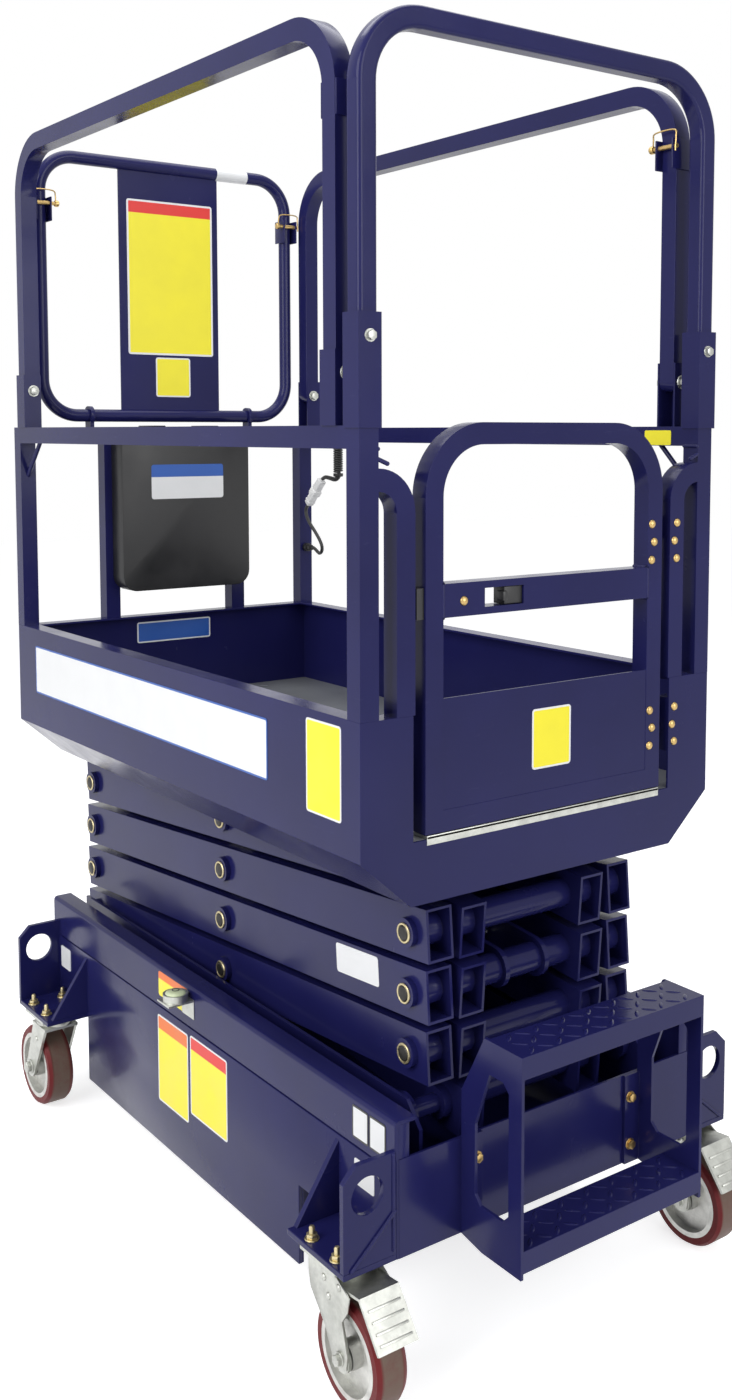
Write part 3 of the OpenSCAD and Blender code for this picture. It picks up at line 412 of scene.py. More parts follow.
def prism(target, outline, depth, lay, bevel=0.0):
    """Adds a flat outline, pushed out along its normal, to a bmesh."""
    block = bmesh.new()
    face = block.faces.new([block.verts.new((u, v, 0)) for u, v in outline])
    moved = bmesh.ops.extrude_face_region(block, geom=[face])["geom"]
    raised = [each for each in moved if isinstance(each, bmesh.types.BMVert)]
    bmesh.ops.translate(block, vec=(0, 0, depth), verts=raised)
    if bevel > 0:
        soften(block, block.edges[:], bevel)
    bmesh.ops.transform(block, matrix=lay, verts=block.verts)
    bmesh.ops.recalc_face_normals(block, faces=block.faces)
    stamp(target, block, [Matrix.Identity(4)])
    block.free()


def upright(side, place):
    """Matrix that lays an outline of X and Z, to be pushed out to one side."""
    return Matrix.Translation(place) @ Matrix((X_AXIS, Z_AXIS, side * Y_AXIS)).transposed().to_4x4()


def dome_bolt(radius):
    """Bmesh of a round-headed bolt, standing on Z zero."""
    arc = [(1.9 * radius * math.cos(a), 1.15 * radius * math.sin(a))
           for a in (0, 0.35, 0.7, 1.05, 1.35)]
    return turned([(0, 0), (2.0 * radius, 0)] + arc + [(0, 1.15 * radius)], 18)


def smooth_route(points, pieces):
    """Points of a smooth line through a route."""
    marks = [Vector(point) for point in points]
    marks = [2 * marks[0] - marks[1]] + marks + [2 * marks[-1] - marks[-2]]
    route = []
    for before, start, end, after in zip(marks, marks[1:], marks[2:], marks[3:]):
        for step in range(pieces):
            t = step / pieces
            route.append(start + 0.5 * t * (end - before)
                         + t * t * (before - 2.5 * start + 2 * end - 0.5 * after)
                         + t * t * t * (1.5 * start - 0.5 * before - 1.5 * end + 0.5 * after))
    return route + [marks[-2]]


def round_line(name, points, radius, taper=None):
    """Curve data of a round wire through points."""
    line = bpy.data.curves.new(name, "CURVE")
    line.dimensions = "3D"
    line.bevel_depth = radius
    line.bevel_resolution = 3
    line.use_fill_caps = True
    spline = line.splines.new("POLY")
    spline.points.add(len(points) - 1)
    for index, place in enumerate(points):
        spline.points[index].co = (*place, 1)
        spline.points[index].radius = taper[index] if taper else 1.0
    return line


def cord_line(name, points, diameter):
    """Black round cord on the platform."""
    line = round_line(name, points, diameter / 2)
    line.materials.append(bpy.data.materials["black plastic"])
    piece = bpy.data.objects.new(name, line)
    bpy.context.scene.collection.objects.link(piece)
    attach(piece, "platform")
    return piece


def sweep(target, points, radius, taper=None):
    """Adds a round bar through points to a bmesh."""
    line = round_line("sweep", points, radius, taper)
    holder = bpy.data.objects.new("sweep", line)
    sheet = bpy.data.meshes.new_from_object(holder)
    target.from_mesh(sheet)
    bpy.data.meshes.remove(sheet)
    bpy.data.objects.remove(holder)
    bpy.data.curves.remove(line)


def finish_piece(name, target, materials, body, angle=35):
    """Makes a bmesh a piece that rides on a body."""
    sheet = bpy.data.meshes.new(name)
    target.to_mesh(sheet)
    target.free()
    sheet.polygons.foreach_set("use_smooth", [True] * len(sheet.polygons))
    sheet.set_sharp_from_angle(angle=math.radians(angle))
    piece = bpy.data.objects.new(name, sheet)
    bpy.context.scene.collection.objects.link(piece)
    for each in materials:
        sheet.materials.append(bpy.data.materials[each])
    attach(piece, body)
    return piece


# Materials

def start_material(name):
    """New material with its node tree and its shader."""
    made = bpy.data.materials.new(name)
    made.use_nodes = True
    tree = made.node_tree
    return made, tree, tree.nodes["Principled BSDF"]


def object_place(tree, stretch=(1, 1, 1)):
    """Object coordinates, stretched by a Mapping node."""
    source = tree.nodes.new("ShaderNodeTexCoord")
    mapping = tree.nodes.new("ShaderNodeMapping")
    mapping.inputs["Scale"].default_value = stretch
    tree.links.new(source.outputs["Object"], mapping.inputs["Vector"])
    return mapping.outputs["Vector"]


def noise(tree, place, scale, detail=4.0, rough=0.55):
    """Cloudy values at a place."""
    cloud = tree.nodes.new("ShaderNodeTexNoise")
    cloud.inputs["Scale"].default_value = scale
    cloud.inputs["Detail"].default_value = detail
    cloud.inputs["Roughness"].default_value = rough
    tree.links.new(place, cloud.inputs["Vector"])
    return cloud.outputs["Fac"]


def ramp(tree, value, low, high, first, second):
    """Colour ramp between two colours, from a low to a high value."""
    made = tree.nodes.new("ShaderNodeValToRGB")
    made.color_ramp.elements[0].position = low
    made.color_ramp.elements[1].position = high
    made.color_ramp.elements[0].color = (*first, 1)
    made.color_ramp.elements[1].color = (*second, 1)
    tree.links.new(value, made.inputs["Fac"])
    return made.outputs["Color"]


def spread(tree, value, low, high, to_low, to_high):
    """Value moved from one range to another."""
    made = tree.nodes.new("ShaderNodeMapRange")
    made.inputs["From Min"].default_value = low
    made.inputs["From Max"].default_value = high
    made.inputs["To Min"].default_value = to_low
    made.inputs["To Max"].default_value = to_high
    tree.links.new(value, made.inputs["Value"])
    return made.outputs["Result"]


def maths(tree, operation, first, second=0.0):
    """Result of a Math node on two sockets, or on a socket and a number."""
    made = tree.nodes.new("ShaderNodeMath")
    made.operation = operation
    tree.links.new(first, made.inputs[0])
    if hasattr(second, "links"):
        tree.links.new(second, made.inputs[1])
    else:
        made.inputs[1].default_value = second
    return made.outputs["Value"]


def blend_colour(tree, factor, first, second):
    """Mix of two colours, each a socket or a value."""
    made = tree.nodes.new("ShaderNodeMix")
    made.data_type = "RGBA"
    tree.links.new(factor, made.inputs["Factor"])
    for socket, value in ((made.inputs["A"], first), (made.inputs["B"], second)):
        if hasattr(value, "links"):
            tree.links.new(value, socket)
        else:
            socket.default_value = (*value, 1)
    return made.outputs["Result"]


def bump(tree, shader, height, strength, distance):
    """Puts a fine relief on a shader."""
    made = tree.nodes.new("ShaderNodeBump")
    made.inputs["Strength"].default_value = strength
    made.inputs["Distance"].default_value = distance
    tree.links.new(height, made.inputs["Height"])
    tree.links.new(made.outputs["Normal"], shader.inputs["Normal"])


def shade(colour, factor):
    """Darker or lighter colour."""
    return tuple(min(1.0, channel * factor) for channel in colour)


def gloss_paint(name, colour, worn, wear):
    """Sprayed gloss paint with slight clouding, orange peel and scuffs."""
    made, tree, shader = start_material(name)
    place = object_place(tree)
    clouds = noise(tree, place, 3.5, 3.0)
    base = ramp(tree, clouds, 0.3, 0.7, shade(colour, 0.86), shade(colour, 1.14))
    long_place = object_place(tree, (1.0, 1.0, 5.0))
    scuffs = noise(tree, long_place, 26.0, 8.0, 0.7)
    mask = spread(tree, scuffs, 0.62, 0.80, 0.0, wear)
    tree.links.new(blend_colour(tree, mask, base, worn), shader.inputs["Base Color"])
    smears = noise(tree, place, 9.0, 5.0, 0.6)
    tree.links.new(spread(tree, smears, 0.3, 0.75, 0.14, 0.30), shader.inputs["Roughness"])
    bump(tree, shader, noise(tree, place, 420.0, 2.0), 0.10, 0.0004)
    shader.inputs["Coat Weight"].default_value = 0.05
    shader.inputs["Coat Roughness"].default_value = 0.06
    shader.inputs["Specular IOR Level"].default_value = 0.16
    return made


def plated_metal(name, colour, dull, low, high, metallic=0.9):
    """Plated or cast metal with a fine spangle and dull patches."""
    made, tree, shader = start_material(name)
    place = object_place(tree)
    patches = noise(tree, place, 45.0, 6.0, 0.65)
    tree.links.new(ramp(tree, patches, 0.35, 0.7, shade(colour, dull), colour), shader.inputs["Base Color"])
    grain = noise(tree, place, 190.0, 4.0, 0.6)
    tree.links.new(spread(tree, grain, 0.3, 0.7, low, high), shader.inputs["Roughness"])
    bump(tree, shader, grain, 0.18, 0.0003)
    shader.inputs["Metallic"].default_value = metallic
    return made


def moulded_plastic(name, colour, rough, grain):
    """Moulded plastic with a fine leathery grain."""
    made, tree, shader = start_material(name)
    place = object_place(tree)
    clouds = noise(tree, place, 14.0, 4.0)
    tree.links.new(ramp(tree, clouds, 0.3, 0.75, shade(colour, 0.75), shade(colour, 1.6)),
                   shader.inputs["Base Color"])
    cells = tree.nodes.new("ShaderNodeTexVoronoi")
    cells.inputs["Scale"].default_value = grain
    tree.links.new(place, cells.inputs["Vector"])
    bump(tree, shader, cells.outputs["Distance"], 0.25, 0.0004)
    tree.links.new(spread(tree, clouds, 0.3, 0.7, rough - 0.08, rough + 0.1), shader.inputs["Roughness"])
    return made


def printed_film(name, colour):
    """Glossy film of a blank plate, a little uneven and dusty."""
    made, tree, shader = start_material(name)
    place = object_place(tree)
    clouds = noise(tree, place, 18.0, 5.0)
    tree.links.new(ramp(tree, clouds, 0.3, 0.75, shade(colour, 0.97), shade(colour, 1.02)),
                   shader.inputs["Base Color"])
    tree.links.new(spread(tree, clouds, 0.3, 0.7, 0.28, 0.45), shader.inputs["Roughness"])
    bump(tree, shader, noise(tree, place, 260.0, 2.0), 0.05, 0.0003)
    return made


def wheel_tread():
    """Red tread with a dusty running band in the middle of the wheel."""
    made, tree, shader = start_material("wheel tread")
    place = object_place(tree)
    middle = abs(pivot("spin_front_left").y)
    axes = tree.nodes.new("ShaderNodeSeparateXYZ")
    tree.links.new(place, axes.inputs["Vector"])
    side = maths(tree, "ABSOLUTE", axes.outputs["Y"])
    off = maths(tree, "ABSOLUTE", maths(tree, "SUBTRACT", side, middle))
    band = spread(tree, off, 0.014, 0.019, 1.0, 0.0)
    dirt = noise(tree, place, 60.0, 6.0, 0.7)
    dust = maths(tree, "MULTIPLY", band, spread(tree, dirt, 0.3, 0.65, 0.65, 1.0))
    colours = finishes()
    tree.links.new(blend_colour(tree, dust, tuple(colours.tread), tuple(colours.tread_worn)),
                   shader.inputs["Base Color"])
    tree.links.new(spread(tree, dirt, 0.3, 0.7, 0.40, 0.65), shader.inputs["Roughness"])
    bump(tree, shader, dirt, 0.15, 0.0005)
    shader.inputs["Specular IOR Level"].default_value = 0.25
    return made


RAILS = ("guard_posts", "end_hoop", "left_hoop", "right_hoop", "back_hoop", "gate_frame")
SHEETS = ("base_walls", "base_skirts", "skirt_ends", "bracket_plates", "bracket_uprights", "platform_box",
          "ladder")
FAMILY_FINISH = {
    "fork_": "zinc plate",
    "pedal_": "zinc plate",
    "hub_": "cast hub",
    "tread_": "wheel tread",
}
NODE_FINISH = {
    "platform_deck": "deck paint",
    "document_box": "black plastic",
    "cable_carrier": "black plastic",
    "gate_latch": "black plastic",
    "power_block": "black plastic",
    "cable_gland": "black plastic",
    "bubble_level": "zinc plate",
    "caster_plates": "zinc plate",
    "lift_rod": "polished rod",
}


class LIFT_OT_finishes(bpy.types.Operator):
    """Makes the finishes and puts them on the solids"""

    bl_idname = "lift.finishes"
    bl_label = "Finishes"

    def execute(self, context):
        colours = finishes()
        paint = tuple(colours.paint)
        scuffed = tuple(colours.paint_worn)
        gloss_paint("navy paint", paint, scuffed, wear=0.25)
        gloss_paint("rail paint", paint, scuffed, wear=0.40)
        gloss_paint("deck paint", tuple(colours.deck), shade(colours.deck, 0.5), wear=0.8)
        # Step lozenge finish: its pale zinc-grey scuff patches are partly worn bare metal and partly a
        # painted highlight that stands in for glints on the bar tips
        gloss_paint("worn steps", paint, shade(colours.zinc, 0.8), wear=1.0)
        plated_metal("zinc plate", tuple(colours.zinc), dull=0.72, low=0.28, high=0.46)
        plated_metal("yellow zinc", tuple(colours.brass), dull=0.70, low=0.26, high=0.42)
        plated_metal("pale zinc", tuple(colours.pale_zinc), dull=0.70, low=0.26, high=0.42)
        plated_metal("pin steel", tuple(colours.pin), dull=0.60, low=0.34, high=0.55, metallic=0.75)
        plated_metal("cast hub", tuple(colours.hub), dull=0.70, low=0.36, high=0.55)
        plated_metal("polished rod", shade(colours.zinc, 1.3), dull=0.95, low=0.06, high=0.14, metallic=1.0)
        moulded_plastic("black plastic", tuple(colours.black), rough=0.42, grain=900.0)
        moulded_plastic("connector white", shade(colours.white, 0.9), rough=0.45, grain=1200.0)
        moulded_plastic("level vial", tuple(colours.vial), rough=0.16, grain=300.0)
        for tint in TINTS:
            printed_film("film " + tint, tuple(getattr(colours, tint)))
        wheel_tread()
        for name, piece in NODES.items():
            piece.data.materials.clear()
            piece.data.materials.append(bpy.data.materials[self.finish_of(name)])
        self.round_edges()
        return {"FINISHED"}

    def finish_of(self, name):
        """Name of the finish of a solid."""
        for start, finish in FAMILY_FINISH.items():
            if name.startswith(start):
                return finish
        if name in RAILS:
            return "rail paint"
        return NODE_FINISH.get(name, "navy paint")

    def round_edges(self):
        """Rounds the edges of the tubes, the sheets and the arms."""
        sizes = details()
        soft = {name: sizes.edge for name in RAILS if name != "back_hoop"}
        for name in SHEETS:
            soft[name] = sizes.fold
        for stage in STAGES:
            soft["inner_arm_%d" % stage] = sizes.fold
            soft["outer_arm_%d" % stage] = sizes.fold
        for name, width in soft.items():
            weld = NODES[name].modifiers.new("Merge", "WELD")
            weld.merge_threshold = MERGE_GAP
            flats = NODES[name].modifiers.new("Flats", "DECIMATE")
            flats.decimate_type = "DISSOLVE"
            flats.angle_limit = FLAT_ANGLE
            rounding = NODES[name].modifiers.new("Edges", "BEVEL")
            rounding.width = width
            rounding.segments = 3
            rounding.limit_method = "ANGLE"
            rounding.angle_limit = SHARP_ANGLE
            rounding.use_clamp_overlap = True
            rounding.harden_normals = True


def seen_rays(tree):
    """One for the rays that show the backdrop, in view or mirrored."""
    rays = tree.nodes.new("ShaderNodeLightPath")
    total = rays.outputs["Is Camera Ray"]
    for kind in ("Is Glossy Ray", "Is Transmission Ray"):
        total = maths(tree, "MAXIMUM", total, rays.outputs[kind])
    return total


class LIFT_OT_stage(bpy.types.Operator):
    """Sets the floor, the light and the camera"""

    bl_idname = "lift.stage"
    bl_label = "Studio"

    def execute(self, context):
        scene = context.scene
        scene.view_settings.view_transform = "Standard"
        self.floor()
        self.light()
        self.world(scene)
        self.camera(scene)
        return {"FINISHED"}

    def floor(self):
        """White floor that still takes shadows."""
        sheet = bmesh.new()
        bmesh.ops.create_grid(sheet, x_segments=1, y_segments=1, size=FLOOR_REACH)
        mesh = bpy.data.meshes.new("studio_floor")
        sheet.to_mesh(mesh)
        sheet.free()
        floor = bpy.data.objects.new("studio_floor", mesh)
        bpy.context.scene.collection.objects.link(floor)
        made, tree, shader = start_material("studio floor")
        shader.inputs["Base Color"].default_value = FLOOR_GREY
        shader.inputs["Roughness"].default_value = 0.9
        shader.inputs["Specular IOR Level"].default_value = 0.1
        shader.inputs["Emission Color"].default_value = WHITE
        seen = spread(tree, seen_rays(tree), 0.0, 1.0, 0.0, FLOOR_GLOW)
        tree.links.new(seen, shader.inputs["Emission Strength"])
        mesh.materials.append(made)

    def light(self):
        """Three large lamps that look at the middle of the lift."""
        studio = bpy.context.scene.lift_studio
        lamps = (("key", studio.key, (0.6, -3.6, 2.6), 3.0), ("fill", studio.fill, (4.2, 0.6, 2.2), 2.6),
                 ("top", studio.top, (-0.4, 0.2, 4.4), 3.2))
        for name, power, place, size in lamps:
            lamp = bpy.data.lights.new(name, "AREA")
            lamp.energy = power
            lamp.size = size
            holder = bpy.data.objects.new(name, lamp)
            holder.location = place
            holder.rotation_euler = (LIGHT_AIM - Vector(place)).to_track_quat("-Z", "Y").to_euler()
            bpy.context.scene.collection.objects.link(holder)

    def world(self, scene):
        """White backdrop with an even light of its own strength."""
        world = bpy.data.worlds.new("studio sky")
        world.use_nodes = True
        scene.world = world
        tree = world.node_tree
        tree.nodes.clear()
        even = tree.nodes.new("ShaderNodeBackground")
        even.inputs["Color"].default_value = WHITE
        even.inputs["Strength"].default_value = scene.lift_studio.sky
        white = tree.nodes.new("ShaderNodeBackground")
        white.inputs["Color"].default_value = WHITE
        mix = tree.nodes.new("ShaderNodeMixShader")
        out = tree.nodes.new("ShaderNodeOutputWorld")
        tree.links.new(seen_rays(tree), mix.inputs["Fac"])
        tree.links.new(even.outputs["Background"], mix.inputs[1])
        tree.links.new(white.outputs["Background"], mix.inputs[2])
        tree.links.new(mix.outputs["Shader"], out.inputs["Surface"])

    def camera(self, scene):
        """Camera at the eye, turned and shifted as the user has set."""
        studio = scene.lift_studio
        lens = bpy.data.cameras.new("view")
        lens.sensor_width = SENSOR
        lens.lens = studio.lens
        lens.shift_x = studio.shift_x
        lens.shift_y = studio.shift_y
        lens.clip_end = FAR_CLIP
        eye = bpy.data.objects.new("view", lens)
        eye.location = studio.eye
        level = math.cos(studio.elevation)
        look = Vector((-math.sin(studio.azimuth) * level, math.cos(studio.azimuth) * level,
                       -math.sin(studio.elevation)))
        eye.rotation_euler = look.to_track_quat("-Z", "Y").to_euler()
        scene.collection.objects.link(eye)
        scene.camera = eye


class LIFT_OT_pin_rings(bpy.types.Operator):
    """Puts plated rings and dark ends on the scissor pins"""

    bl_idname = "lift.pin_rings"
    bl_label = "Pin rings"

    def execute(self, context):
        radius = details().ring
        inner = 0.76 * radius
        step = 0.0016
        rise = 0.0024
        ring = turned(((inner, 0), (radius, 0), (radius, step), (0.95 * radius, rise),
                       (0.80 * radius, rise), (inner, step), (inner, 0)), 32)
        end = turned(((0, 0), (0.75 * radius, 0), (0.75 * radius, 0.0020), (0.66 * radius, 0.0032),
                      (0.30 * radius, 0.0038), (0, 0.0040)), 28)
        for face in end.faces:
            face.material_index = 1
        stamp(ring, end, [Matrix.Identity(4)])
        end.free()
        face_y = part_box("outer_pins_2")[1].y
        for body, places in self.pins().items():
            target = bmesh.new()
            for place in places:
                for side in (-1, 1):
                    stamp(target, ring, [facing((0, side, 0), (place.x, side * face_y, place.z))])
            finish_piece("pin_rings_" + body, target, ["pale zinc", "pin steel"], body)
        ring.free()
        return {"FINISHED"}

    def pins(self):
        """Pins of each arm body whose ends show beside the outer arms."""
        held = {}
        for stage in STAGES:
            centre = pivot("arms_%d_centre" % stage)
            low_right = pivot("lift") if stage == 1 else pivot("arms_%d_%d_right" % (stage - 1, stage))
            top = stage == STAGES[-1]
            high_right = pivot("platform_pivot") if top else pivot("arms_%d_%d_right" % (stage, stage + 1))
            held["inner_%d" % stage] = [centre] if top else [centre, 2 * centre - low_right]
            held["outer_%d" % stage] = [high_right, 2 * centre - high_right] if stage == 1 else [high_right]
        return held


class LIFT_OT_cords(bpy.types.Operator):
    """Lays the curly cord, its connector and the control cable"""

    bl_idname = "lift.cords"
    bl_label = "Control cord"

    def execute(self, context):
        sizes = details()
        turns = self.coil(sizes.cord)
        curly = cord_line("curly_wire", turns, sizes.cord)
        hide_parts("curly_cord")
        self.boot()
        route = smooth_route(CABLE_ROUTE, 2)
        cable = cord_line("cable_run", route, sizes.cable)
        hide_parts("control_cable")
        self.plug()
        return {"FINISHED"}

    def coil(self, wire):
        """Points of the helix below the mid rail."""
        top = Vector(COIL_TOP)
        radius = COIL_RADIUS - wire / 2
        drop = top.z - COIL_LOW[2] - wire
        turns = int(drop / (COIL_PITCH * wire))
        points = []
        for step in range(TURN_POINTS * turns + 1):
            turn = 2 * math.pi * step / TURN_POINTS
            fall = wire / 2 + drop * step / (TURN_POINTS * turns)
            points.append(top + Vector((radius * math.cos(turn), radius * math.sin(turn), -fall)))
        return points

    def boot(self):
        """Sleeve between the coil and the plug."""
        target = bmesh.new()
        route = smooth_route(BOOT_ROUTE, 3)
        taper = [1.5 - 0.5 * step / len(route) for step in range(len(route))]
        sweep(target, route, BOOT_RADIUS, taper)
        cap = turned(((0, -0.007), (0.0095, -0.007), (COIL_RADIUS, -0.005), (COIL_RADIUS, 0), (0, 0)), 24)
        stamp(target, cap, [Matrix.Translation(COIL_LOW)])
        cap.free()
        piece = finish_piece("cord_boot", target, ["black plastic"], "platform")
        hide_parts("cord_connector")
        return piece

    def plug(self):
        """White plug and socket at the end of the cable."""
        target = bmesh.new()
        first = Vector(PLUG_ENDS[0])
        last = Vector(PLUG_ENDS[1])
        lay = facing(last - first, first)
        run = (last - first).length
        for low, high, wide in PLUG_BLOCKS:
            block = bmesh.new()
            half = wide / 2
            add_box(block, (-half, -half, low * run), (half, half, high * run), 0.0016)
            stamp(target, block, [lay])
            block.free()
        tab = bmesh.new()
        add_box(tab, (-0.005, 0.0085, 0.30 * run), (0.005, 0.0125, 0.66 * run), 0.001)
        stamp(target, tab, [lay])
        tab.free()
        piece = finish_piece("cord_plug", target, ["connector white"], "platform")
        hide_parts("cord_connector")
        return piece


class LIFT_OT_fasteners(bpy.types.Operator):
    """Bolts the rails, the gate hinges, the ladder and the brackets"""

    bl_idname = "lift.fasteners"
    bl_label = "Bolts"

    def execute(self, context):
        radius = details().bolt
        self.place("rail_bolts", hex_bolt(1.25 * radius), self.sleeve_places(), "zinc plate", "platform")
        self.place("end_bolts", hex_bolt(radius), self.end_places(), "zinc plate", "platform")
        fixed = self.hinge_places(HINGE_FIXED_Y, -HINGE_STEP)
        self.place("hinge_bolts_fixed", dome_bolt(0.85 * radius), fixed, "yellow zinc", "platform")
        gate = self.hinge_places(HINGE_GATE_Y, HINGE_STEP)
        gate.append(facing(X_AXIS, (GATE_FACE, *LATCH_BOLT)))
        self.place("hinge_bolts_gate", dome_bolt(0.85 * radius), gate, "yellow zinc", "gate")
        self.place("ladder_bolts", hex_bolt(radius), self.ladder_places(), "yellow zinc", "base")
        self.place("bracket_bolts", stud_nut(1.2 * radius), self.bracket_places(), "pale zinc", "base")
        return {"FINISHED"}

    def place(self, name, bolt, matrices, finish, body):
        """Makes one piece of a bolt at each matrix."""
        target = bmesh.new()
        stamp(target, bolt, matrices)
        bolt.free()
        finish_piece(name, target, [finish], body)

    def sleeve_places(self):
        """Both sides of the four sleeves of the side hoops."""
        fold = pivot("left_rail_fold")
        low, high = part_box("left_hoop")
        places = []
        for leg in (low.x + RAIL / 2, high.x - RAIL / 2):
            for y in (-fold.y, fold.y):
                for side in (-1, 1):
                    places.append(facing((side, 0, 0), (leg + side * SLEEVE, y, fold.z)))
        return places

    def end_places(self):
        """Front faces of the end posts."""
        y = pivot("right_rail_fold").y
        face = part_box("guard_posts")[1].x
        return [facing(X_AXIS, (face, side * y, END_BOLT_Z)) for side in (-1, 1)]

    def hinge_places(self, y, step):
        """Three bolts of each hinge leaf, the middle one set aside."""
        places = []
        for height in HINGES:
            for row in (-1, 0, 1):
                aside = step if row == 0 else 0
                places.append(facing(X_AXIS, (GATE_FACE, y + aside, height + HINGE_PITCH * row)))
        return places

    def ladder_places(self):
        """Bolts of the ladder flanges."""
        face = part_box("base_walls")[1].x + LADDER_SHEET
        return [facing(X_AXIS, (face, side * LADDER_BOLT_Y, z)) for side in (1, -1) for z in LADDER_BOLTS_Z]

    def bracket_places(self):
        """Four nuts on each caster bracket."""
        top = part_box("bracket_plates")[1].z
        places = []
        for corner in CORNERS:
            middle = pivot("swivel_" + corner)
            for x in (-BRACKET_BOLT_X, BRACKET_BOLT_X):
                for y in (-BRACKET_BOLT_Y, BRACKET_BOLT_Y):
                    places.append(facing(Z_AXIS, (middle.x + x, middle.y + y, top)))
        return places


class LIFT_OT_casters(bpy.types.Operator):
    """Adds the axle nuts, ball races, fork cheeks, rivets and pedal ribs of the casters"""

    bl_idname = "lift.casters"
    bl_label = "Casters"

    def execute(self, context):
        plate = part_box("caster_plates")[0].z
        for corner in CORNERS:
            middle = pivot("swivel_" + corner)
            axle = pivot("spin_" + corner)
            target = bmesh.new()
            braked = corner.startswith("front")
            nut = hex_bolt(NUT_BRAKED if braked else NUT_PLAIN)
            leg = FORK_LEG + CHEEK if braked else FORK_LEG
            stamp(target, nut, [facing((0, side, 0), (axle.x, axle.y + side * leg, axle.z))
                                for side in (-1, 1)])
            nut.free()
            race = turned(RACE, 40)
            stamp(target, race, [Matrix.Translation((middle.x, middle.y, plate))])
            race.free()
            rivet = dome_bolt(RIVET)
            spots = RIVETS_BRAKED if braked else RIVETS_PLAIN
            stamp(target, rivet, [facing((0, side, 0), (middle.x + x, axle.y + side * leg, z))
                                  for side in (-1, 1) for x, z in spots])
            rivet.free()
            if braked:
                for side in (-1, 1):
                    lay = upright(side, (middle.x, middle.y + side * FORK_LEG, 0))
                    prism(target, CHEEK_OUTLINE, CHEEK, lay, 0.0006)
            finish_piece("caster_trim_" + corner, target, ["zinc plate"], "caster_" + corner)
            if braked:
                self.ribs(corner, middle)
        return {"FINISHED"}

    def ribs(self, corner, middle):
        """Raised ribs on the sloping tread of a brake pedal."""
        low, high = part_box("pedal_" + corner)
        knee = Vector((middle.x + PEDAL_KNEE, middle.y, high.z))
        tip = Vector((high.x, middle.y, PEDAL_TIP_Z))
        run = tip - knee
        lay = Matrix.Translation(knee) @ run.to_track_quat("X", "Z").to_matrix().to_4x4()
        margin = 0.006
        half = (high.y - low.y) / 2 - margin
        thick = 0.0018
        target = bmesh.new()
        for share in (0.25, 0.45, 0.65, 0.85):
            rib = bmesh.new()
            x = share * run.length
            add_box(rib, (x - thick, -half, -0.001), (x + thick, half, 0.0016), 0.0008)
            stamp(target, rib, [lay])
            rib.free()
        finish_piece("pedal_ribs_" + corner, target, ["zinc plate"], "caster_" + corner)


class LIFT_OT_wall_folds(bpy.types.Operator):
    """Folds the rims of the base walls and lays their side panels"""

    bl_idname = "lift.wall_folds"
    bl_label = "Base wall folds"

    def execute(self, context):
        low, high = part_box("base_walls")
        skirt_low, skirt_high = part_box("base_skirts")
        rear = low.x + SEAM
        front = high.x - SEAM
        hem = low.z + SEAM
        panel = ((rear, hem), (rear, PANEL_TOP), (front, PANEL_TOP), (front, hem), (skirt_high.x, hem),
                 (skirt_high.x, skirt_low.z), (skirt_low.x, skirt_low.z), (skirt_low.x, hem))
        target = bmesh.new()
        for side in (-1, 1):
            along = Matrix((side * Y_AXIS, Z_AXIS, X_AXIS)).transposed().to_4x4()
            prism(target, self.rim(high), front - rear, Matrix.Translation((rear, 0, 0)) @ along)
            inside = skirt_high.y - SEAM
            prism(target, panel, PANEL_FACE - inside, upright(side, (0, side * inside, 0)), 0.0008)
            left, right = sorted((side * FLANGE_Y, side * (high.y + 0.001)))
            add_box(target, (front - 0.004, left, FLANGE_Z), (front - SEAM, right, high.z - SEAM), 0.0008)
        finish_piece("wall_folds", target, ["navy paint"], "base")
        return {"FINISHED"}

    def rim(self, high):
        """Outline of the folded rim and the wall below it, as Y and Z."""
        roll = 0.007
        under = high.z - 0.0002
        behind = high.y - 0.0018
        top = high.z + FOLD_FACE - high.y
        inner = high.y - 0.033
        arc = [(FOLD_FACE - roll + roll * math.sin(a), top - roll + roll * math.cos(a))
               for a in (0, 0.26, 0.52, 0.785, 1.05, 1.31, 1.571)]
        low = PANEL_TOP + 0.0013
        return [(inner, under), (inner, top)] + arc + [(FOLD_FACE, low), (behind, low), (behind, under)]


class LIFT_OT_tread_plates(bpy.types.Operator):
    """Raises the lozenges of the ladder steps and lays the gate threshold"""

    bl_idname = "lift.tread_plates"
    bl_label = "Tread plates"

    def execute(self, context):
        long = details().lozenge
        margin = 0.012
        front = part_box("ladder")[1].x - margin
        row_pitch = 0.023
        column_pitch = 0.0245
        bar = bmesh.new()
        bmesh.ops.create_icosphere(bar, subdivisions=2, radius=1.0)
        bmesh.ops.scale(bar, vec=(long, 0.0032, 0.0013), verts=bar.verts)
        target = bmesh.new()
        for height in STEPS_Z:
            for row in range(3):
                for column in range(-6, 7):
                    spot = (front - row_pitch * row, column_pitch * column, height)
                    turn = Matrix.Rotation(math.radians(45 if (row + column) % 2 else -45), 4, "Z")
                    stamp(target, bar, [Matrix.Translation(spot) @ turn])
        bar.free()
        # The lozenges take the step finish, whose pale patches are partly wear and partly painted highlight
        finish_piece("step_lozenges", target, ["worn steps"], "base")
        strip = bmesh.new()
        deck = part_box("platform_deck")[1].z
        lip = 0.001
        end = GATE_FACE + lip
        add_box(strip, (GATE_FACE - 0.040, -THRESHOLD_Y, deck), (end, THRESHOLD_Y, deck + 0.005), 0.0008)
        add_box(strip, (GATE_FACE - lip, -THRESHOLD_Y, deck - 0.008),
                (end, THRESHOLD_Y, deck + 0.004), 0.0006)
        finish_piece("gate_threshold", strip, ["zinc plate"], "platform")
        return {"FINISHED"}


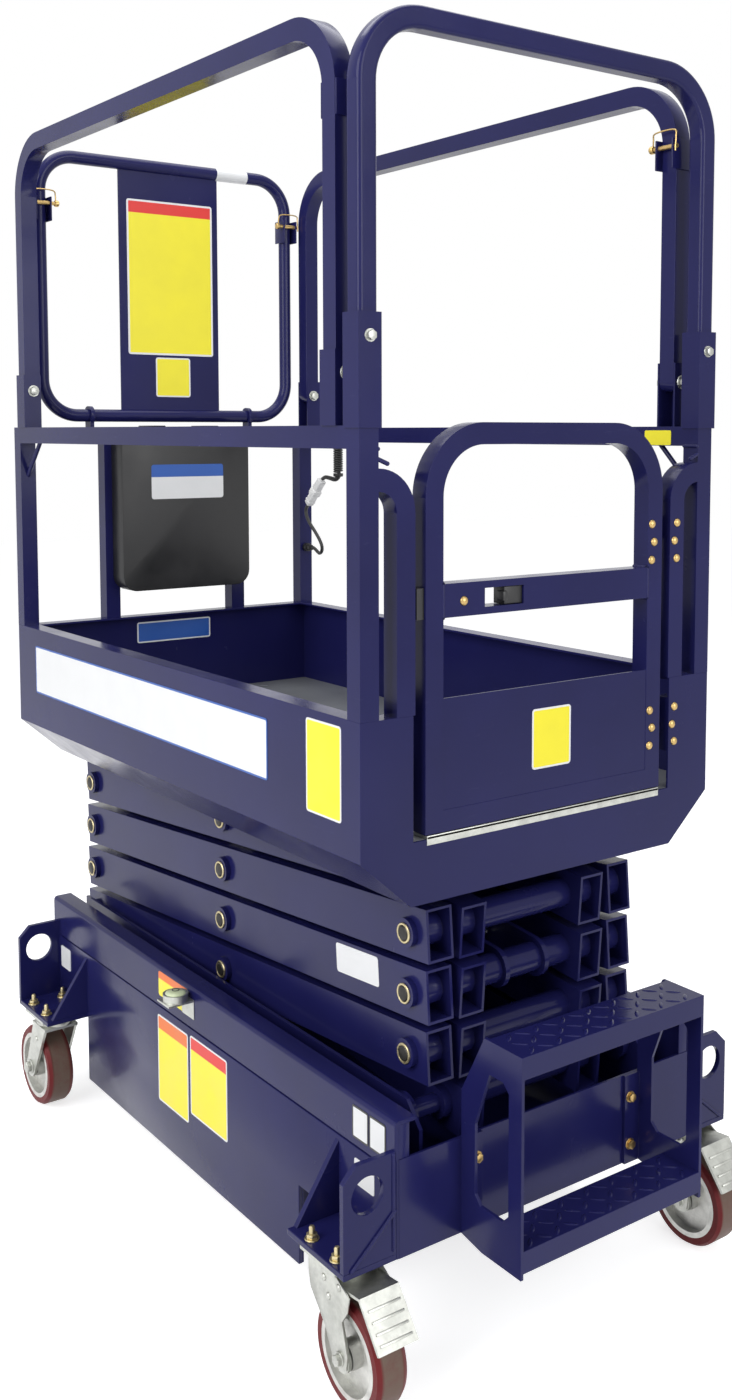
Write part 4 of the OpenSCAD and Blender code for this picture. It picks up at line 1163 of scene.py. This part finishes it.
class LIFT_OT_welds(bpy.types.Operator):
    """Runs weld beads along the joined tubes and sheets"""

    bl_idname = "lift.welds"
    bl_label = "Weld beads"

    def execute(self, context):
        bead = details().bead
        blob = bmesh.new()
        bmesh.ops.create_icosphere(blob, subdivisions=2, radius=bead)
        for body, lines in self.seams().items():
            target = bmesh.new()
            for start, end in lines:
                start = Vector(start)
                run = Vector(end) - start
                count = max(2, int(run.length / (0.75 * bead)))
                spots = [start + run * step / count for step in range(count + 1)]
                stamp(target, blob, [Matrix.Translation(spot) for spot in spots])
            finish_piece("welds_" + body, target, ["rail paint"], body, 60)
        blob.free()
        return {"FINISHED"}

    def seams(self):
        """Start and end of each bead, by body."""
        front = GATE_FACE - 0.002
        behind = front - 0.026
        gate = []
        platform = []
        base = []
        bar_low, bar_high = GATE_BAR
        for side in (-1, 1):
            post = side * GATE_POST_Y
            gate.append(((front, post, bar_low), (front, post, bar_high)))
            for z in (bar_low, bar_high):
                gate.append(((behind, post, z), (front, post, z)))
            platform.append([(front, side * y, z) for y, z in POST_SEAM])
            y, z = RAIL_SEAM
            platform.append(((behind, side * y, z), (front, side * y, z)))
        low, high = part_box("bracket_uprights")
        for corner in CORNERS:
            middle = pivot("swivel_" + corner)
            side = 1 if middle.y > 0 else -1
            edge = high.x if middle.x > 0 else low.x
            wall = side * PANEL_FACE
            base.append(((edge, wall, BRACKET_SEAM_Z), (edge, wall, high.z - 0.004)))
            if middle.x > 0:
                base.append([(high.x + 0.001, side * y, z) for y, z in LUG_SEAM])
        return {"gate": gate, "platform": platform, "base": base}


class LIFT_OT_plates(bpy.types.Operator):
    """Lays the blank plates, the signs, the banner and the band of the back hoop"""

    bl_idname = "lift.plates"
    bl_label = "Blank plates"

    def execute(self, context):
        films = ["film " + tint for tint in TINTS]
        for body, rows in PLATES.items():
            target = bmesh.new()
            for row in rows:
                self.plate(target, *row)
            finish_piece("plates_" + body, target, films, body)
        self.band()
        return {"FINISHED"}

    def plate(self, target, across, place, size, field, edge=None, header=None, share=0.0, lean=0.0):
        """Adds a plate with rounded corners, an edge and a header if asked."""
        thick = details().plate
        width, height = size
        sheet = bmesh.new()
        bmesh.ops.create_grid(sheet, x_segments=1, y_segments=1, size=0.5)
        bmesh.ops.scale(sheet, vec=(width, height, 1), verts=sheet.verts)
        corner = min(0.005, 0.1 * min(size))
        bmesh.ops.bevel(sheet, geom=sheet.verts[:], offset=corner, segments=4, profile=0.5,
                        affect="VERTICES", material=-1)
        for face in sheet.faces:
            face.material_index = TINTS.index(field)
        inner = sheet.faces[:]
        if edge:
            rim = max(0.0028, 0.02 * min(size))
            ring = bmesh.ops.inset_region(sheet, faces=inner, thickness=rim, use_boundary=True,
                                          use_even_offset=True)["faces"]
            for face in ring:
                face.material_index = TINTS.index(edge)
        if header:
            line = (0.5 - share) * height
            edges = [each for face in inner for each in face.edges]
            points = [each for face in inner for each in face.verts]
            cut = bmesh.ops.bisect_plane(sheet, geom=inner + edges + points, plane_co=(0, line, 0),
                                         plane_no=(0, 1, 0))["geom"]
            for face in cut:
                if isinstance(face, bmesh.types.BMFace) and face.calc_center_median().y > line:
                    face.material_index = TINTS.index(header)
        bmesh.ops.solidify(sheet, geom=sheet.faces[:], thickness=thick)
        bmesh.ops.recalc_face_normals(sheet, faces=sheet.faces)
        drop = min(vert.co.z for vert in sheet.verts)
        bmesh.ops.translate(sheet, vec=(0, 0, -drop), verts=sheet.verts)
        side = Vector(across)
        normal = side.cross(Z_AXIS)
        turn = Matrix((side, Z_AXIS, normal)).transposed().to_4x4()
        stamp(target, sheet, [Matrix.Translation(place) @ turn @ Matrix.Rotation(lean, 4, "Z")])
        sheet.free()

    def band(self):
        """White band round the top tube of the back hoop."""
        fold = pivot("back_rail_fold")
        low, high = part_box("back_hoop")
        radius = fold.x - low.x
        inside = radius - 0.001
        outside = radius + 0.0004
        width = 0.072
        band = turned(((inside, 0), (outside, 0), (outside, width), (inside, width)), 32)
        target = bmesh.new()
        stamp(target, band, [facing(Y_AXIS, (fold.x, BAND_Y, high.z - radius))])
        band.free()
        finish_piece("hoop_band", target, ["film white"], "back_rail")


class LIFT_OT_level_vial(bpy.types.Operator):
    """Sets the domed vial on the bubble level"""

    bl_idname = "lift.level_vial"
    bl_label = "Bubble level"

    def execute(self, context):
        low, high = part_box("bubble_level")
        middle = (low.x + high.x) / 2
        reach = (high.x - low.x) / 2
        rise = 0.005
        arc = [(0.82 * reach * math.cos(a), rise * math.sin(a)) for a in (0, 0.4, 0.8, 1.2)]
        vial = turned(arc + [(0, rise)], 28)
        inside = 0.24 * reach
        outside = 0.30 * reach
        under = 0.0048
        over = 0.0056
        ring = turned(((inside, under), (outside, under), (outside, over), (inside, over),
                       (inside, under)), 24)
        for face in ring.faces:
            face.material_index = 1
        target = bmesh.new()
        spot = Matrix.Translation((middle, low.y + reach + 0.002, high.z))
        stamp(target, vial, [spot])
        stamp(target, ring, [spot])
        vial.free()
        ring.free()
        finish_piece("level_vial", target, ["level vial", "black plastic"], "base")
        return {"FINISHED"}


class LIFT_OT_document_case(bpy.types.Operator):
    """Moulds the document box with an open top and hangs it on straps"""

    bl_idname = "lift.document_case"
    bl_label = "Document box"

    def execute(self, context):
        low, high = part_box("document_box")
        round_r = 0.030
        outline = [(low.y, high.z)]
        for middle, start in ((low.y + round_r, math.pi), (high.y - round_r, 1.5 * math.pi)):
            for step in range(9):
                turn = start + 0.5 * math.pi * step / 8
                outline.append((middle + round_r * math.cos(turn), low.z + round_r * (1 + math.sin(turn))))
        outline.append((high.y, high.z))
        case = bmesh.new()
        ring = [case.verts.new((low.x, y, z)) for y, z in outline]
        back = case.faces.new(ring)
        front = bmesh.ops.extrude_face_region(case, geom=[back])["geom"]
        moved = [each for each in front if isinstance(each, bmesh.types.BMVert)]
        bmesh.ops.translate(case, vec=(high.x - low.x, 0, 0), verts=moved)
        bmesh.ops.recalc_face_normals(case, faces=case.faces)
        top = [face for face in case.faces if face.normal.z > 0.9]
        wall = 0.004
        depth = 0.12
        bmesh.ops.inset_individual(case, faces=top, thickness=wall, depth=0.0)
        bottom = list({vert for face in top for vert in face.verts})
        bmesh.ops.translate(case, vec=(0, 0, -depth), verts=bottom)
        sharp = [edge for edge in case.edges if edge.is_manifold and edge.calc_face_angle() > 0.9]
        soften(case, sharp, 0.0015)
        piece = finish_piece("document_case", case, ["black plastic"], "platform")
        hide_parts("document_box")
        self.straps(high)
        return {"FINISHED"}

    def straps(self, high):
        """Straps that hang the box on the rear mid rail."""
        half = 0.013
        thick = 0.004
        top = MID_RAIL_TOP + thick
        target = bmesh.new()
        for y in (-STRAP_Y, STRAP_Y):
            add_box(target, (STRAP_REAR, y - half, MID_RAIL_TOP), (high.x, y + half, top), 0.0012)
            add_box(target, (high.x - thick, y - half, high.z - thick), (high.x, y + half, top), 0.0012)
        finish_piece("box_straps", target, ["black plastic"], "platform")


class LIFT_OT_carrier_links(bpy.types.Operator):
    """Builds the cable carrier from links"""

    bl_idname = "lift.carrier_links"
    bl_label = "Cable carrier"

    def execute(self, context):
        low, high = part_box("cable_carrier")
        count = 18
        step = (high.x - low.x) / count
        gap = 0.0012
        wall = 0.004
        target = bmesh.new()
        for link in range(count):
            first = low.x + link * step + gap / 2
            last = first + step - gap
            tuck = 0.0018 if link % 2 else 0.0
            for y, side in ((low.y + tuck, 1), (high.y - tuck, -1)):
                add_box(target, (first, min(y, y + side * wall), low.z + tuck),
                        (last, max(y, y + side * wall), high.z - tuck), 0.0012)
            for z, side in ((low.z, 1), (high.z, -1)):
                add_box(target, (first + 0.25 * step, low.y + wall, min(z, z + side * wall)),
                        (last - 0.25 * step, high.y - wall, max(z, z + side * wall)), 0.0010)
        piece = finish_piece("carrier_links", target, ["black plastic"], "base")
        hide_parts("cable_carrier")
        return {"FINISHED"}


class LIFT_OT_lock_pins(bpy.types.Operator):
    """Adds the saddles, the plated locking pins and their wire bails"""

    bl_idname = "lift.lock_pins"
    bl_label = "Locking pins"

    def execute(self, context):
        fold = pivot("back_rail_fold")
        low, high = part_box("back_hoop")
        radius = fold.x - low.x
        rear = bmesh.new()
        saddles = bmesh.new()
        for side in (-1, 1):
            leg = Vector((fold.x, side * (high.y - radius), PIN_Z))
            self.saddle(saddles, leg, X_AXIS, radius)
            self.pin(rear, leg, X_AXIS, Vector((0, -side, 0)), radius)
        finish_piece("lock_pins_rear", rear, ["yellow zinc"], "back_rail")
        finish_piece("saddles_rear", saddles, ["rail paint"], "back_rail")
        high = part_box("right_hoop")[1]
        front = bmesh.new()
        clip = bmesh.new()
        leg = Vector((high.x - RAIL / 2, high.y - RAIL / 2, PIN_Z))
        self.saddle(clip, leg, -Y_AXIS, RAIL / 2)
        self.pin(front, leg, -Y_AXIS, -X_AXIS, RAIL / 2)
        finish_piece("lock_pin_front", front, ["yellow zinc"], "right_rail")
        finish_piece("saddle_right", clip, ["rail paint"], "right_rail")
        low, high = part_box("left_hoop")
        clip = bmesh.new()
        leg = Vector((high.x - RAIL / 2, low.y + RAIL / 2, PIN_Z))
        self.saddle(clip, leg, Y_AXIS, RAIL / 2)
        finish_piece("saddle_left", clip, ["rail paint"], "left_rail")
        return {"FINISHED"}

    def saddle(self, target, leg, ahead, radius):
        """Ears beside a leg that the pin goes through."""
        across = ahead.cross(Z_AXIS)
        lay = Matrix((ahead, across, Z_AXIS)).transposed().to_4x4()
        inside = radius + 0.0004
        thick = 0.003
        for side in (-1, 1):
            ear = bmesh.new()
            first = min(side * inside, side * (inside + thick))
            add_box(ear, (-radius, first, -0.034), (radius + 0.013, first + thick, 0.012), 0.001)
            stamp(target, ear, [Matrix.Translation(leg) @ lay])
            ear.free()

    def pin(self, target, leg, ahead, head, radius):
        """Pin in front of a leg, with a knob and a wire bail round the leg."""
        middle = leg + ahead * (radius + 0.0065)
        start = middle + head * (radius + 0.013)
        end = middle - head * (radius + 0.007)
        sweep(target, [start, end], LOCK_PIN)
        knob = turned(((0, 0), (0.0052, 0), (0.0062, 0.0015), (0.0062, 0.0065), (0.0050, 0.008),
                       (0, 0.008)), 20)
        stamp(target, knob, [facing(head, start - head * 0.002)])
        knob.free()
        rise = Vector((0, 0, 0.024))
        bail = [start, start + rise * 0.6, start + rise - head * 0.006 + ahead * 0.002,
                end + rise + head * 0.004 + ahead * 0.003, end + rise * 0.55 + ahead * 0.003,
                end + ahead * 0.004, end - rise * 0.35 + ahead * 0.004]
        sweep(target, smooth_route(bail, 4), BAIL_WIRE)


class LIFT_OT_gate_latch(bpy.types.Operator):
    """Fits the black thumb latch in the slot of the gate bar"""

    bl_idname = "lift.gate_latch"
    bl_label = "Gate latch"

    def execute(self, context):
        target = bmesh.new()
        face = Vector((GATE_FACE, 0, 0))
        for (low, high), soft in ((LATCH_BODY, 0.0012), (LATCH_THUMB, 0.0020)):
            add_box(target, face + Vector(low), face + Vector(high), soft)
        finish_piece("thumb_latch", target, ["black plastic"], "gate")
        return {"FINISHED"}


def main():
    """Dresses the lift step by step."""
    register()
    for step in STEPS:
        getattr(bpy.ops.lift, step)()


class LIFT_PT_panel(bpy.types.Panel):
    """Lists the steps that dress the lift"""

    bl_idname = "LIFT_PT_panel"
    bl_label = "Scissor lift"
    bl_space_type = "VIEW_3D"
    bl_region_type = "UI"
    bl_category = "Lift"

    def draw(self, context):
        for step in STEPS:
            self.layout.operator("lift." + step)


STEPS = ("stage", "finishes", "cords", "pin_rings", "fasteners", "casters", "wall_folds", "tread_plates",
         "welds", "plates", "level_vial", "document_case", "carrier_links", "lock_pins", "gate_latch")
CLASSES = (LiftFinishes, LiftDetails, LiftStudio, LIFT_OT_finishes, LIFT_OT_stage, LIFT_OT_cords,
           LIFT_OT_pin_rings, LIFT_OT_fasteners, LIFT_OT_casters, LIFT_OT_wall_folds,
           LIFT_OT_tread_plates, LIFT_OT_welds, LIFT_OT_plates, LIFT_OT_level_vial,
           LIFT_OT_document_case, LIFT_OT_carrier_links, LIFT_OT_lock_pins, LIFT_OT_gate_latch,
           LIFT_PT_panel)


def register():
    """Makes the classes and settings known."""
    for each in CLASSES:
        bpy.utils.register_class(each)
    bpy.types.Scene.lift_finishes = PointerProperty(type=LiftFinishes)
    bpy.types.Scene.lift_details = PointerProperty(type=LiftDetails)
    bpy.types.Scene.lift_studio = PointerProperty(type=LiftStudio)


def unregister():
    """Takes the settings and classes away again."""
    del bpy.types.Scene.lift_finishes
    del bpy.types.Scene.lift_details
    del bpy.types.Scene.lift_studio
    for each in reversed(CLASSES):
        bpy.utils.unregister_class(each)


if __name__ == "__main__":
    main()
